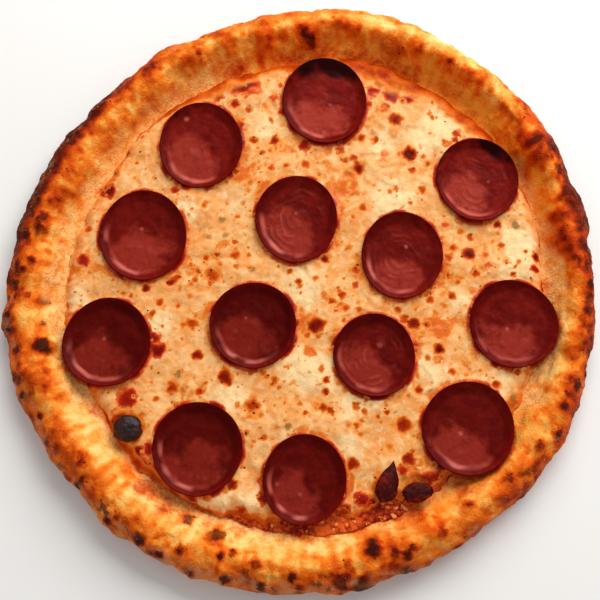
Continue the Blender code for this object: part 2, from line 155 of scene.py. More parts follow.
@dataclass(frozen=True)
class PizzaForm:
    """The pizza's main form: outline, rim, dish and the heights of its layers."""

    hub: tuple[float, float] = (0.3 * MM, 1.75 * MM)
    mean_radius: float = 151.0 * MM
    ovalness: float = 2.0 * MM
    pressed_sides: tuple = ((108.0, 42.0, 7.6 * MM), (147.0, 46.0, 6.0 * MM))
    outline_waves: tuple = ((5, 40.0, 0.5 * MM), (9, 200.0, 0.35 * MM))
    rim_width: float = 28.5 * MM
    rim_width_swing: float = 3.0 * MM
    rim_widest_at: float = 210.0
    rim_height: float = 19.0 * MM
    crest_inset: float = 12.0 * MM
    belly_height: float = 8.0 * MM
    foot_inset: float = 10.0 * MM
    height_waves: tuple = ((2, 75.0, 0.045), (5, 10.0, 0.035), (7, 160.0, 0.025))
    dish_height: float = 5.0 * MM
    shaped_from: float = 60.0 * MM
    sauce_thickness: float = 1.0 * MM
    layer_lift: float = 0.45 * MM
    cheese_thickness: float = 3.3 * MM
    least_cover: float = 0.6 * MM
    bare_azimuth: float = -80.0

    @property
    def turned_dish(self) -> float:
        """Return the radius of the rim's inner foot on the evenly turned pizza."""
        return self.mean_radius - self.rim_width

    @property
    def turned_crest(self) -> float:
        """Return the crest's radius on the evenly turned pizza."""
        return self.mean_radius - self.crest_inset

    @property
    def cheese_under(self) -> float:
        """Return the height of the cheese's underside above the dish."""
        return 2.0 * self.layer_lift + self.sauce_thickness

    def outer_radius(self, azimuth: Number) -> Number:
        """Return the distance from the hub to the crust's edge.

        Args:
            azimuth: degrees.

        Returns:
            Metres.
        """
        radius = self.mean_radius - self.ovalness * np.cos(np.radians(2.0 * azimuth))
        radius = radius + waves(azimuth, self.outline_waves)
        for middle, half_width, depth in self.pressed_sides:
            radius = radius - depth * bump(azimuth, middle, half_width)
        return radius

    def dish_radius(self, azimuth: Number) -> Number:
        """Return the distance from the hub to the foot of the rim's inner slope."""
        swing = self.rim_width_swing * np.cos(np.radians(azimuth - self.rim_widest_at))
        return self.outer_radius(azimuth) - self.rim_width - swing

    def shaped(self, turned: Number, azimuth: Number) -> Number:
        """Return where a radius of the evenly turned pizza lies on the uneven one.

        Args:
            turned: radii of the evenly turned pizza.
            azimuth: degrees.

        Returns:
            Distances from the hub.
        """
        dish = self.dish_radius(azimuth)
        outer = self.outer_radius(azimuth)
        on_rim = dish + (turned - self.turned_dish) / self.rim_width * (outer - dish)
        reach = np.maximum(0.0, turned - self.shaped_from) / (self.turned_dish - self.shaped_from)
        inside = turned + reach * (dish - self.turned_dish)
        return np.where(turned >= self.turned_dish, on_rim, inside)

    def turned(self, radius: Number, azimuth: Number) -> Number:
        """Return the radius of the evenly turned pizza for a radius of the uneven one.

        Args:
            radius: distances from the hub.
            azimuth: degrees.

        Returns:
            Radii of the evenly turned pizza.
        """
        dish = self.dish_radius(azimuth)
        outer = self.outer_radius(azimuth)
        on_rim = self.turned_dish + (radius - dish) / (outer - dish) * self.rim_width
        slope = (dish - self.turned_dish) / (self.turned_dish - self.shaped_from)
        inside = (radius + self.shaped_from * slope) / (1.0 + slope)
        inside = np.where(radius < self.shaped_from, radius, inside)
        return np.where(radius >= dish, on_rim, inside)

    def polar(self, xs: Number, ys: Number) -> tuple[Array, Array]:
        """Return the radii and azimuths of places in the frame.

        Args:
            xs: X coordinates.
            ys: Y coordinates.

        Returns:
            Distances from the hub, and degrees.
        """
        across = np.asarray(xs) - self.hub[0]
        along = np.asarray(ys) - self.hub[1]
        return np.hypot(across, along), np.degrees(np.arctan2(along, across))

    def crust_height(self, turned: Number) -> Number:
        """Return the height of the crust's upper face.

        Args:
            turned: radii of the evenly turned pizza.

        Returns:
            Heights above the floor.
        """
        share = unit((turned - self.turned_dish) / (self.turned_crest - self.turned_dish))
        inner = self.dish_height + (self.rim_height - self.dish_height) * np.sin(np.pi / 2.0 * share) ** 2
        past = unit((turned - self.turned_crest) / self.crest_inset)
        outer = self.belly_height + (self.rim_height - self.belly_height) * np.sqrt(1.0 - past * past)
        return np.where(turned <= self.turned_crest, inner, outer)

    def rim_rise(self, height: Number, turned: Number, azimuth: Number) -> Number:
        """Give heights the rim's own ups and downs.

        Args:
            height: heights on the evenly turned pizza.
            turned: their radii on it.
            azimuth: degrees.

        Returns:
            The changed heights.
        """
        risen = self.dish_height + (height - self.dish_height) * (1.0 + waves(azimuth, self.height_waves))
        flat = (turned <= self.turned_dish) | (height <= self.dish_height)
        return np.where(flat, height, risen)

    def bed_height(self, xs: Number, ys: Number) -> Number:
        """Return the height of the crust's upper face at places in the frame.

        Args:
            xs: X coordinates.
            ys: Y coordinates.

        Returns:
            Heights above the floor.
        """
        radius, azimuth = self.polar(xs, ys)
        turned = self.turned(radius, azimuth)
        return self.rim_rise(self.crust_height(turned), turned, azimuth)

    def surface_height(self, x: float, y: float) -> float:
        """Return the height of the cheese, or of what lies past its edge.

        Args:
            x: metres to the right of the hub.
            y: metres up from the hub.

        Returns:
            The height above the floor.
        """
        radius, azimuth = math.hypot(x, y), math.degrees(math.atan2(y, x))
        turned = float(self.turned(radius, azimuth))
        bed = float(self.rim_rise(self.crust_height(turned), turned, azimuth))
        cover = self.cheese_under + self.cheese_thickness
        return bed + max(self.least_cover, cover - max(0.0, turned - self.turned_dish))

    def placed(self, radius: Array, azimuth: Array, height: Number) -> Array:
        """Return points at radii and azimuths from the hub.

        Args:
            radius: distances from the hub.
            azimuth: degrees.
            height: heights.

        Returns:
            One row of three coordinates a point.
        """
        angle = np.radians(azimuth)
        xs = self.hub[0] + radius * np.cos(angle)
        ys = self.hub[1] + radius * np.sin(angle)
        return np.stack([xs, ys, np.broadcast_to(height, xs.shape)], axis=1)


def put_in_scene(name: str, data: Any) -> bpy.types.Object:
    """Make an object of a mesh, light or camera and add it to the scene.

    Args:
        name: the object's name.
        data: what it shows.

    Returns:
        The new object.
    """
    made = bpy.data.objects.new(name, data)
    bpy.context.scene.collection.objects.link(made)
    return made


@dataclass(frozen=True)
class PictureCamera:
    """The camera of the picture, solved from the outline and the growth of the slices."""

    elevation: float = 75.0
    distance: float = 0.52
    aim_height: float = 8.0 * MM
    focal_pixels: float = 1029.7
    axis_pixel: tuple[float, float] = (300.0, 279.9)  # where the solved axis meets the picture
    picture_size: float = 600.0
    sensor: float = 36.0
    fade: tuple[float, float] = (6.0 * MM, 3.0 * MM)  # before and past the rim's foot, where the layers end
    rounds: int = 6

    def axes(self, form: PizzaForm) -> tuple[Vector, Vector, Vector, Vector]:
        """Return how the camera stands.

        Args:
            form: the pizza's form.

        Returns:
            Its place, and its forward, right and up directions.
        """
        angle = math.radians(self.elevation)
        back = Vector((0.0, -math.cos(angle), math.sin(angle)))
        place = Vector((form.hub[0], form.hub[1], self.aim_height)) + back * self.distance
        right = Vector((1.0, 0.0, 0.0))
        return place, -back, right, right.cross(-back)

    def on_plane(self, form: PizzaForm, x: float, y: float, height: float) -> Vector:
        """Return the point at a height that a pixel shows.

        Args:
            form: the pizza's form.
            x: pixels from the picture's left side.
            y: pixels from its top.
            height: the point's height.

        Returns:
            A point in the frame.
        """
        place, forward, right, up = self.axes(form)
        ray = forward * self.focal_pixels + right * (x - self.axis_pixel[0]) + up * (self.axis_pixel[1] - y)
        return place + ray * ((height - place.z) / ray.z)

    def on_pizza(self, form: PizzaForm, x: float, y: float) -> Vector:
        """Return the point of the pizza's upper face that a pixel shows.

        Args:
            form: the pizza's form.
            x: pixels from the picture's left side.
            y: pixels from its top.

        Returns:
            A point in the frame.
        """
        cover = form.cheese_under + form.cheese_thickness
        height = form.dish_height + cover
        point = self.on_plane(form, x, y, height)
        before, past = self.fade
        for _ in range(self.rounds):
            radius, azimuth = form.polar(point.x, point.y)
            turned = form.turned(radius, azimuth)
            covered = 1.0 - float(smooth(form.turned_dish - before, form.turned_dish + past, turned))
            bed = float(form.rim_rise(form.crust_height(turned), turned, azimuth))
            height = 0.5 * (height + cover * covered + bed)
            point = self.on_plane(form, x, y, height)
        return point

    def build(self, form: PizzaForm) -> bpy.types.Object:
        """Add the camera, turned so that the picture's middle is its axis.

        Args:
            form: the pizza's form.

        Returns:
            The camera's object, already the scene's camera.
        """
        place, _, _, _ = self.axes(form)
        middle = self.picture_size / 2.0
        target = self.on_plane(form, middle, middle, self.aim_height)
        data = bpy.data.cameras.new("picture_camera")
        data.sensor_width = self.sensor
        data.lens = self.sensor * self.focal_pixels / self.picture_size
        data.clip_start = 0.01
        camera = put_in_scene("picture_camera", data)
        camera.location = place
        camera.rotation_euler = (target - place).to_track_quat("-Z", "Y").to_euler()
        bpy.context.scene.camera = camera
        return camera


@dataclass(frozen=True)
class Features:
    """Spots and stains read from the picture, as pixel x, pixel y, radius in mm and strength."""

    browned: tuple = (
        (409, 154, 3.4, 1.0), (358, 168, 2.9, 0.9), (361, 138, 1.9, 0.7), (395, 120, 3.2, 0.8),
        (254, 141, 2.0, 0.7), (274, 141, 2.2, 0.8), (263, 153, 1.4, 0.6), (286, 166, 1.5, 0.6),
        (305, 165, 2.3, 0.6), (125, 154, 2.8, 0.7), (132, 116, 2.2, 0.7), (88, 229, 2.0, 0.6),
        (213, 275, 3.6, 0.6), (206, 258, 1.6, 0.6), (236, 255, 2.4, 0.6), (160, 302, 2.0, 0.6),
        (152, 313, 1.8, 0.6), (192, 324, 3.0, 0.6), (197, 355, 2.4, 0.9), (225, 378, 3.4, 0.9),
        (172, 388, 3.0, 0.7), (200, 391, 2.3, 0.7), (253, 405, 3.6, 0.7), (264, 438, 1.5, 0.6),
        (241, 512, 2.4, 0.6), (323, 408, 2.0, 0.7), (316, 325, 3.8, 0.9), (290, 271, 1.5, 0.6),
        (355, 270, 2.4, 0.6), (346, 308, 1.8, 0.6), (362, 208, 2.0, 0.6), (353, 217, 1.4, 0.5),
        (398, 310, 1.6, 0.6), (430, 300, 2.0, 0.6), (452, 296, 2.0, 0.6), (458, 282, 1.6, 0.5),
        (453, 248, 2.0, 0.6), (468, 254, 3.0, 1.0), (470, 237, 1.9, 0.6), (422, 190, 1.9, 0.6),
        (412, 171, 2.0, 0.6), (497, 225, 2.0, 0.9), (536, 257, 2.1, 1.0), (553, 271, 3.0, 1.0),
        (414, 324, 2.8, 0.9), (427, 325, 2.0, 0.6), (439, 349, 2.4, 1.0), (419, 390, 2.0, 0.7),
        (402, 387, 1.5, 0.6), (452, 372, 1.8, 0.6), (403, 425, 3.6, 0.8), (387, 413, 1.3, 0.7),
        (378, 417, 1.2, 0.6), (410, 460, 3.0, 0.9), (353, 465, 2.8, 0.8), (497, 385, 2.2, 0.7),
        (518, 372, 1.7, 0.6), (544, 382, 1.8, 0.6), (326, 380, 1.7, 0.8), (326, 392, 1.6, 0.8),
        (340, 292, 1.4, 0.5), (275, 380, 2.0, 0.5), (206, 203, 1.6, 0.4), (191, 284, 1.5, 0.4),
        (190, 296, 1.5, 0.4), (237, 405, 1.6, 0.4), (247, 433, 1.6, 0.4), (361, 435, 1.6, 0.4),
        (348, 426, 1.6, 0.4), (390, 447, 1.8, 0.4), (485, 255, 2.0, 0.5), (476, 274, 1.8, 0.6),
        (171, 282, 2.0, 0.9), (146, 288, 2.0, 0.9), (325, 259, 2.0, 0.9), (232, 485, 2.4, 0.9),
        (210, 282, 1.6, 0.5), (300, 404, 1.5, 0.5), (365, 412, 1.6, 0.5), (505, 262, 1.6, 0.4),
        (127, 428, 7.5, 0.8), (118, 420, 4.0, 0.7), (384, 488, 5.0, 0.7), (416, 492, 5.0, 0.7),
        (250, 338, 1.6, 0.5), (262, 372, 1.8, 0.5), (335, 232, 1.6, 0.5), (322, 196, 1.8, 0.5),
    )
    green_specks: tuple = (
        (250, 110, 2.2, 0.8), (222, 220, 2.0, 0.7), (226, 235, 1.8, 0.7), (208, 237, 1.8, 0.6),
        (178, 374, 2.2, 0.8), (252, 270, 2.0, 0.8), (288, 427, 2.0, 0.8), (404, 480, 2.0, 0.7),
        (514, 398, 2.2, 0.8), (515, 225, 2.2, 0.8), (440, 160, 1.8, 0.5), (205, 225, 1.6, 0.5),
        (388, 285, 1.6, 0.4), (300, 150, 1.6, 0.4), (520, 215, 1.5, 0.5), (330, 210, 1.8, 0.4),
    )
    red_stains: tuple = (
        (243, 84, 6.5, 1.0), (217, 96, 3.0, 1.0), (190, 98, 2.4, 0.8), (235, 104, 2.2, 0.7),
        (274, 98, 2.4, 0.5), (108, 192, 3.4, 1.0), (102, 190, 2.6, 0.9), (84, 260, 3.0, 0.8),
        (157, 350, 3.2, 1.0), (154, 338, 2.6, 0.9), (150, 450, 3.2, 0.8), (142, 470, 4.0, 0.9),
        (150, 492, 4.2, 0.9), (166, 500, 3.4, 0.8), (265, 480, 3.0, 0.9), (262, 500, 2.6, 0.8),
        (300, 533, 4.6, 0.9), (328, 532, 4.2, 1.0), (346, 515, 3.8, 0.9), (445, 472, 3.6, 0.9),
        (436, 455, 2.6, 0.8), (305, 145, 3.0, 0.8), (283, 113, 2.4, 0.8), (262, 205, 2.6, 0.8),
        (290, 310, 3.0, 0.9), (293, 325, 2.8, 0.8), (546, 286, 3.0, 0.9), (535, 269, 2.2, 0.8),
        (375, 505, 4.2, 1.0), (395, 512, 5.0, 1.0), (418, 512, 4.6, 1.0), (362, 500, 3.4, 0.8),
        (391, 95, 3.6, 0.9), (372, 92, 3.0, 0.7), (407, 100, 2.6, 0.7), (350, 525, 2.6, 0.9),
        (340, 150, 2.6, 0.5), (404, 470, 3.0, 0.7), (430, 480, 3.4, 0.8), (487, 265, 2.6, 0.4),
        (125, 404, 3.4, 0.8), (138, 452, 3.2, 0.9), (116, 412, 2.4, 0.7), (380, 82, 3.0, 0.8),
        (402, 84, 2.6, 0.8), (415, 95, 2.2, 0.6), (385, 108, 2.2, 0.7), (368, 105, 1.8, 0.6),
        (175, 190, 2.0, 0.7), (240, 125, 2.2, 0.6), (100, 385, 2.4, 0.5), (250, 370, 2.4, 0.6),
        (415, 345, 2.2, 0.6), (445, 225, 1.8, 0.5), (515, 170, 2.4, 0.6), (190, 500, 3.2, 0.7),
        (355, 285, 2.0, 0.5), (480, 478, 4.4, 0.8), (505, 460, 2.6, 0.6), (545, 355, 2.2, 0.5),
        (462, 487, 5.6, 0.9), (440, 482, 5.0, 0.8), (136, 466, 5.0, 0.9), (146, 488, 5.6, 1.0),
        (165, 505, 5.6, 0.9), (188, 514, 5.0, 0.8), (210, 522, 4.4, 0.7), (126, 398, 4.6, 0.8),
        (235, 76, 7.0, 1.0), (258, 36, 6.5, 0.6), (228, 42, 4.0, 0.4), (528, 118, 5.0, 0.5),
    )
    orange_stains: tuple = (
        (340, 185, 8.0, 0.9), (330, 165, 7.0, 0.9), (250, 180, 7.0, 0.6), (220, 250, 10.0, 0.5),
        (213, 275, 7.0, 0.6), (305, 320, 7.0, 0.9), (440, 325, 8.0, 0.6), (485, 255, 8.0, 0.8),
        (418, 350, 8.0, 0.7), (353, 490, 7.0, 0.7), (250, 405, 7.0, 0.5), (180, 385, 8.0, 0.5),
        (400, 425, 9.0, 0.5), (395, 110, 9.0, 0.6), (110, 172, 6.0, 0.8), (95, 270, 9.0, 0.5),
        (420, 480, 10.0, 0.8), (395, 500, 12.0, 0.8), (445, 280, 7.0, 0.5), (175, 320, 7.0, 0.4),
        (330, 400, 7.0, 0.5), (290, 150, 7.0, 0.6), (470, 350, 6.0, 0.4), (60, 330, 8.0, 0.5),
        (150, 480, 9.0, 0.8), (240, 520, 8.0, 0.5), (520, 400, 8.0, 0.5), (355, 265, 6.0, 0.5),
    )
    pale_pools: tuple = (
        (445, 125, 11.0, 1.0), (420, 140, 8.0, 0.8), (390, 200, 9.0, 0.9), (300, 288, 9.0, 0.8),
        (305, 370, 10.0, 1.0), (330, 375, 7.0, 0.7), (345, 405, 7.0, 0.6), (520, 245, 8.0, 0.9),
        (430, 370, 8.0, 0.7), (185, 215, 7.0, 0.5), (500, 385, 6.0, 0.5), (215, 500, 8.0, 0.5),
        (250, 505, 6.0, 0.5), (350, 450, 7.0, 0.6), (230, 395, 8.0, 0.5), (160, 320, 7.0, 0.5),
        (240, 205, 7.0, 0.4), (460, 300, 6.0, 0.4), (80, 300, 7.0, 0.5), (385, 145, 6.0, 0.6),
        (265, 130, 7.0, 0.6), (370, 395, 7.0, 0.6), (110, 240, 5.0, 0.5), (515, 270, 6.0, 0.7),
    )
    rim_spots: tuple = (
        (95, 104, 3.6, 1.0), (86, 112, 3.2, 1.0), (104, 98, 2.4, 0.9), (141, 65, 2.2, 0.9),
        (123, 76, 1.8, 0.9), (117, 81, 1.6, 0.9), (71, 138, 2.0, 0.9), (51, 154, 1.8, 0.9),
        (47, 164, 1.8, 0.9), (41, 177, 1.8, 1.0), (38, 188, 1.8, 1.0), (38, 199, 1.6, 0.9),
        (25, 208, 1.8, 0.9), (18, 223, 1.8, 0.9), (16, 236, 3.0, 0.8), (26, 234, 2.6, 0.8),
        (43, 218, 3.4, 0.9), (41, 230, 3.4, 0.8), (32, 259, 1.8, 0.8), (24, 269, 1.8, 0.8),
        (27, 294, 1.8, 0.8), (58, 281, 3.4, 0.5), (47, 301, 1.9, 0.7), (43, 323, 1.8, 0.8),
        (44, 346, 4.2, 1.0), (47, 371, 2.0, 0.6), (7, 315, 1.7, 1.0), (8, 329, 1.7, 1.0),
        (15, 350, 2.0, 0.9), (21, 396, 2.0, 0.9), (39, 416, 1.9, 0.9), (46, 443, 2.0, 0.8),
        (80, 463, 1.9, 0.7), (76, 486, 2.1, 1.0), (107, 521, 2.2, 0.9), (116, 518, 1.8, 0.8),
        (138, 541, 3.0, 0.9), (159, 556, 2.0, 0.8), (180, 551, 2.4, 0.8), (189, 520, 3.0, 0.9),
        (218, 537, 4.2, 0.9), (210, 538, 3.0, 0.8), (233, 554, 2.2, 0.8), (220, 558, 1.9, 0.8),
        (256, 565, 2.8, 0.8), (224, 581, 2.2, 1.0), (260, 589, 2.4, 1.0), (291, 579, 2.6, 1.0),
        (348, 565, 2.2, 0.7), (353, 572, 2.0, 0.7), (340, 583, 5.0, 0.8), (365, 588, 5.0, 0.8),
        (374, 551, 4.6, 0.95), (374, 544, 3.0, 0.6), (396, 555, 2.4, 0.7), (409, 557, 2.6, 0.9),
        (414, 549, 2.4, 0.8), (407, 573, 2.2, 0.8), (443, 534, 2.4, 0.7), (473, 505, 1.9, 0.7),
        (510, 478, 2.2, 0.8), (541, 446, 2.8, 0.8), (558, 434, 2.2, 0.8), (564, 407, 2.2, 0.8),
        (579, 386, 2.8, 1.0), (587, 376, 2.6, 1.0), (592, 284, 2.4, 1.0), (60, 281, 2.0, 0.6),
        (575, 258, 3.6, 0.8), (568, 236, 6.0, 0.6), (574, 246, 6.0, 0.6), (572, 228, 5.0, 0.6),
        (530, 142, 5.5, 0.6), (540, 155, 5.0, 0.6), (567, 197, 4.6, 0.6), (560, 215, 4.0, 0.5),
        (312, 45, 3.4, 0.9), (304, 40, 3.0, 0.7), (401, 51, 2.6, 0.7), (417, 53, 3.0, 0.7),
        (283, 35, 3.0, 0.5), (445, 76, 3.0, 0.5), (470, 72, 2.2, 0.5), (452, 62, 2.0, 0.6),
        (170, 120, 3.0, 0.4), (155, 106, 2.6, 0.5), (240, 44, 4.4, 0.5), (225, 40, 4.0, 0.5),
        (200, 52, 2.2, 0.6), (185, 62, 2.4, 0.5), (265, 25, 2.6, 0.5), (350, 28, 3.2, 0.4),
        (505, 105, 2.6, 0.6), (520, 120, 2.4, 0.6), (555, 175, 3.0, 0.6), (490, 88, 2.2, 0.5),
        (588, 310, 2.6, 0.7), (583, 330, 3.0, 0.6), (590, 350, 2.6, 0.6), (572, 350, 3.4, 0.4),
        (548, 480, 2.2, 0.6), (525, 500, 2.4, 0.6), (495, 525, 2.6, 0.6), (460, 550, 2.4, 0.6),
        (430, 565, 2.6, 0.6), (300, 592, 2.2, 0.7), (190, 575, 2.2, 0.7), (150, 572, 1.9, 0.7),
        (120, 552, 2.2, 0.7), (92, 535, 1.9, 0.7), (70, 508, 2.2, 0.7), (52, 478, 2.2, 0.7),
        (34, 440, 2.0, 0.7), (14, 378, 2.2, 0.7), (57, 394, 3.4, 0.35), (90, 480, 2.6, 0.3),
        (563, 265, 2.4, 0.5), (553, 240, 2.4, 0.4), (72, 170, 2.4, 0.4), (84, 146, 2.6, 0.35),
    )


class Painter:
    """Turns spots of the picture into masks on points of the pizza."""

    def __init__(self, form: PizzaForm, camera: PictureCamera) -> None:
        """Keep the form and the camera that place the spots."""
        self.form = form
        self.camera = camera

    def places(self, spots: Spots) -> list[tuple[float, float, float, float]]:
        """Carry spots from the picture to the pizza.

        Args:
            spots: pixel x, pixel y, radius in mm and strength of each.

        Returns:
            The same spots, with their places and radii in metres.
        """
        found = []
        for x, y, radius, strength in spots:
            point = self.camera.on_pizza(self.form, x, y)
            found.append((point.x, point.y, radius * MM, strength))
        return found

    def mask(self, xs: Array, ys: Array, spots: Spots, softness: float, ragged: float = 0.35) -> Array:
        """Return how strongly each point is covered by uneven soft spots.

        Args:
            xs: the points' X coordinates.
            ys: the points' Y coordinates.
            spots: the spots, in the picture's pixels.
            softness: the share of a spot's radius over which it fades.
            ragged: how far noise moves its edge, as a share of its radius.

        Returns:
            A mask from 0 to 1.
        """
        return self.mask_of_places(xs, ys, self.places(spots), softness, ragged)

    def mask_of_places(
        self, xs: Array, ys: Array, places: Spots, softness: float, ragged: float = 0.35
    ) -> Array:
        """Return the mask of spots that are already places in the frame.

        Args:
            xs: the points' X coordinates.
            ys: the points' Y coordinates.
            places: the spots, in metres.
            softness: the share of a spot's radius over which it fades.
            ragged: how far noise moves its edge, as a share of its radius.

        Returns:
            A mask from 0 to 1.
        """
        result = np.zeros(len(xs))
        for index, (x, y, radius, strength) in enumerate(places):
            reach = radius * (1.0 + softness + ragged)
            near = np.flatnonzero((np.abs(xs - x) < reach) & (np.abs(ys - y) < reach))
            if len(near) == 0:
                continue
            across = xs[near] - x
            along = ys[near] - y
            points = flat_points(xs[near], ys[near])
            uneven = relief(points, 0.9 * radius, 7.3 * index) + 0.5 * relief(points, 0.4 * radius, index)
            away = np.hypot(across, along) / radius + ragged * uneven
            cover = strength * (1.0 - smooth(1.0 - softness, 1.0 + softness, away))
            result[near] = np.maximum(result[near], cover)
        return result


def scattered_places(
    count: int, radius_range: tuple[float, float], sizes: tuple[float, float],
    strengths: tuple[float, float], form: PizzaForm, seed: int,
) -> list[tuple[float, float, float, float]]:
    """Return random spots in a ring, given by its evenly turned radii.

    Args:
        count: how many.
        radius_range: the ring's inner and outer radius.
        sizes: the least and largest radius of a spot.
        strengths: the least and largest strength.
        form: the pizza's form.
        seed: starts the draw.

    Returns:
        Places in the frame, with radius and strength.
    """
    draw = np.random.default_rng(seed)
    azimuth = draw.uniform(0.0, 360.0, count)
    turned = np.sqrt(draw.uniform(radius_range[0] ** 2, radius_range[1] ** 2, count))
    points = form.placed(form.shaped(turned, azimuth), azimuth, 0.0)
    size = sizes[0] + (sizes[1] - sizes[0]) * draw.uniform(0.0, 1.0, count) ** 2.2
    strength = draw.uniform(strengths[0], strengths[1], count)
    return list(zip(points[:, 0].tolist(), points[:, 1].tolist(), size.tolist(), strength.tolist()))


@dataclass(frozen=True)
class Slice:
    """One slice's place, as read from the picture and carried to millimetres, seen from the hub."""

    number: int
    x: float
    y: float
    width: float
    length: float


@dataclass
class SliceLayout:
    """Where the slices lie, how they lean, and the section they share."""

    form: PizzaForm
    thickness: float = 1.9 * MM
    cup_height: float = 4.6 * MM
    floor_share: float = 0.70
    bend_share: float = 0.91
    bend_height: float = 1.0 * MM
    outer_drop: float = 0.7 * MM
    sink: float = 1.7 * MM
    tilt_share: float = 0.75
    reach_share: float = 0.48
    edge_waves: tuple = ((2.0, 1.0, 0.012), (3.0, 2.3, 0.008))
    lip_wave: tuple = (2.0, 1.7, 0.6 * MM)
    rows: tuple = (
        (-51.3, 71.2, 42.5, 47.8), (12.9, 96.0, 43.6, 48.6), (91.0, 52.2, 42.1, 45.0),
        (-79.5, 22.3, 44.6, 47.4), (-1.8, 31.1, 42.2, 46.0), (51.4, 11.8, 41.3, 45.6),
        (-95.5, -32.9, 43.3, 45.0), (-23.3, -24.1, 42.5, 44.2), (105.9, -23.6, 43.5, 45.0),
        (36.6, -39.4, 40.7, 41.4), (-49.4, -85.1, 44.1, 44.8), (2.1, -99.8, 40.4, 43.0),
        (81.4, -75.6, 44.3, 46.2),
    )

    def slices(self) -> list[Slice]:
        """Return the slices, numbered from 1."""
        return [Slice(index + 1, *(value * MM for value in row)) for index, row in enumerate(self.rows)]

    def placement(self, item: Slice) -> Matrix:
        """Return where a slice lies, leaned against the rim if it reaches that far.

        Args:
            item: the slice.

        Returns:
            The turn and move from the slice's own frame.
        """
        outward = Vector((item.x, item.y, 0.0)).normalized()
        reach = self.reach_share * item.length
        surface = self.form.surface_height
        outer = surface(item.x + outward.x * reach, item.y + outward.y * reach)
        inner = surface(item.x - outward.x * reach, item.y - outward.y * reach)
        lean = self.tilt_share * max(0.0, outer - inner) / (2.0 * reach)
        axis = Vector((outward.y, -outward.x, 0.0))
        height = surface(0.0, 0.0) - self.sink + lean * reach / 2.0
        place = Vector((item.x + self.form.hub[0], item.y + self.form.hub[1], height))
        return Matrix.Translation(place) @ Matrix.Rotation(lean, 4, axis)

    def wave(self, azimuth: Number, number: int, term: tuple[float, float, float]) -> Number:
        """Return a wave round a slice, which starts elsewhere on each slice."""
        count, phase, size = term
        return size * np.sin(np.radians(count * azimuth) + phase * number)

    def under_height(self, share: Number) -> Number:
        """Return the height of a slice's outer side.

        Args:
            share: how far out, as a share of the slice's radius.

        Returns:
            Heights in the slice's own frame.
        """
        bend = self.bend_height * smooth(self.floor_share - 0.06, self.bend_share + 0.06, share) * 1.2
        rise = self.cup_height - self.outer_drop - self.bend_height
        return bend + rise * smooth(self.bend_share - 0.05, 1.0, share)

    def local(self, item: Slice, xs: Array, ys: Array) -> tuple[Array, Array]:
        """Return where points lie on a slice.

        Args:
            item: the slice.
            xs: the points' X coordinates.
            ys: the points' Y coordinates.

        Returns:
            Shares of the slice's radius, and degrees.
        """
        across = (xs - self.form.hub[0] - item.x) / (item.width / 2.0)
        along = (ys - self.form.hub[1] - item.y) / (item.length / 2.0)
        azimuth = np.degrees(np.arctan2(along, across))
        uneven = sum(self.wave(azimuth, item.number, term) for term in self.edge_waves)
        return np.hypot(across, along) / (1.0 + uneven), azimuth

    def press_down(self, points: Array, clear: float) -> Array:
        """Return points that are lowered below the slices lying on them.

        Args:
            points: one row of three coordinates a point.
            clear: how far below a slice they end.

        Returns:
            The lowered points.
        """
        lowered = points.copy()
        for item in self.slices():
            share, _ = self.local(item, lowered[:, 0], lowered[:, 1])
            inside = np.flatnonzero(share < 1.03)
            place = self.placement(item)
            normal = place.to_3x3() @ Vector((0.0, 0.0, 1.0))
            middle = place.translation
            across = (lowered[inside, 0] - middle.x) * normal.x + (lowered[inside, 1] - middle.y) * normal.y
            plane = middle.z - across / normal.z
            limit = plane + self.under_height(np.minimum(share[inside], 1.0)) - clear
            lowered[inside, 2] = np.minimum(lowered[inside, 2], limit)
        return lowered

    def halo(self, xs: Array, ys: Array, inner: float, outer: float) -> Array:
        """Return a mask that is 1 at the slices and fades round them.

        Args:
            xs: the points' X coordinates.
            ys: the points' Y coordinates.
            inner: the share of a slice's radius where the fading starts.
            outer: the share where it ends.

        Returns:
            A mask from 0 to 1.
        """
        result = np.zeros(len(xs))
        for item in self.slices():
            share, _ = self.local(item, xs, ys)
            result = np.maximum(result, 1.0 - smooth(inner, outer, share))
        return result


class Value:
    """A number that varies over a surface. Arithmetic on it adds Math nodes."""

    def __init__(self, sketch: "NodeSketch", socket: Any) -> None:
        """Keep the sketch and the socket that carries the number."""
        self.sketch = sketch
        self.socket = socket

    def __add__(self, other: Union["Value", float]) -> "Value":
        """Return the sum."""
        return self.sketch.math("ADD", self, other)

    __radd__ = __add__

    def __mul__(self, other: Union["Value", float]) -> "Value":
        """Return the product."""
        return self.sketch.math("MULTIPLY", self, other)

    __rmul__ = __mul__

    def __sub__(self, other: Union["Value", float]) -> "Value":
        """Return the difference."""
        return self.sketch.math("SUBTRACT", self, other)

    def __rsub__(self, other: Union["Value", float]) -> "Value":
        """Return the difference from a plain number."""
        return self.sketch.math("SUBTRACT", other, self)

    def highest(self, other: Union["Value", float]) -> "Value":
        """Return the larger of two numbers."""
        return self.sketch.math("MAXIMUM", self, other)

    def lowest(self, other: Union["Value", float]) -> "Value":
        """Return the smaller of two numbers."""
        return self.sketch.math("MINIMUM", self, other)

    def clamped(self) -> "Value":
        """Return the number kept between 0 and 1."""
        return self.highest(0.0).lowest(1.0)


Operand = Union[Value, float]


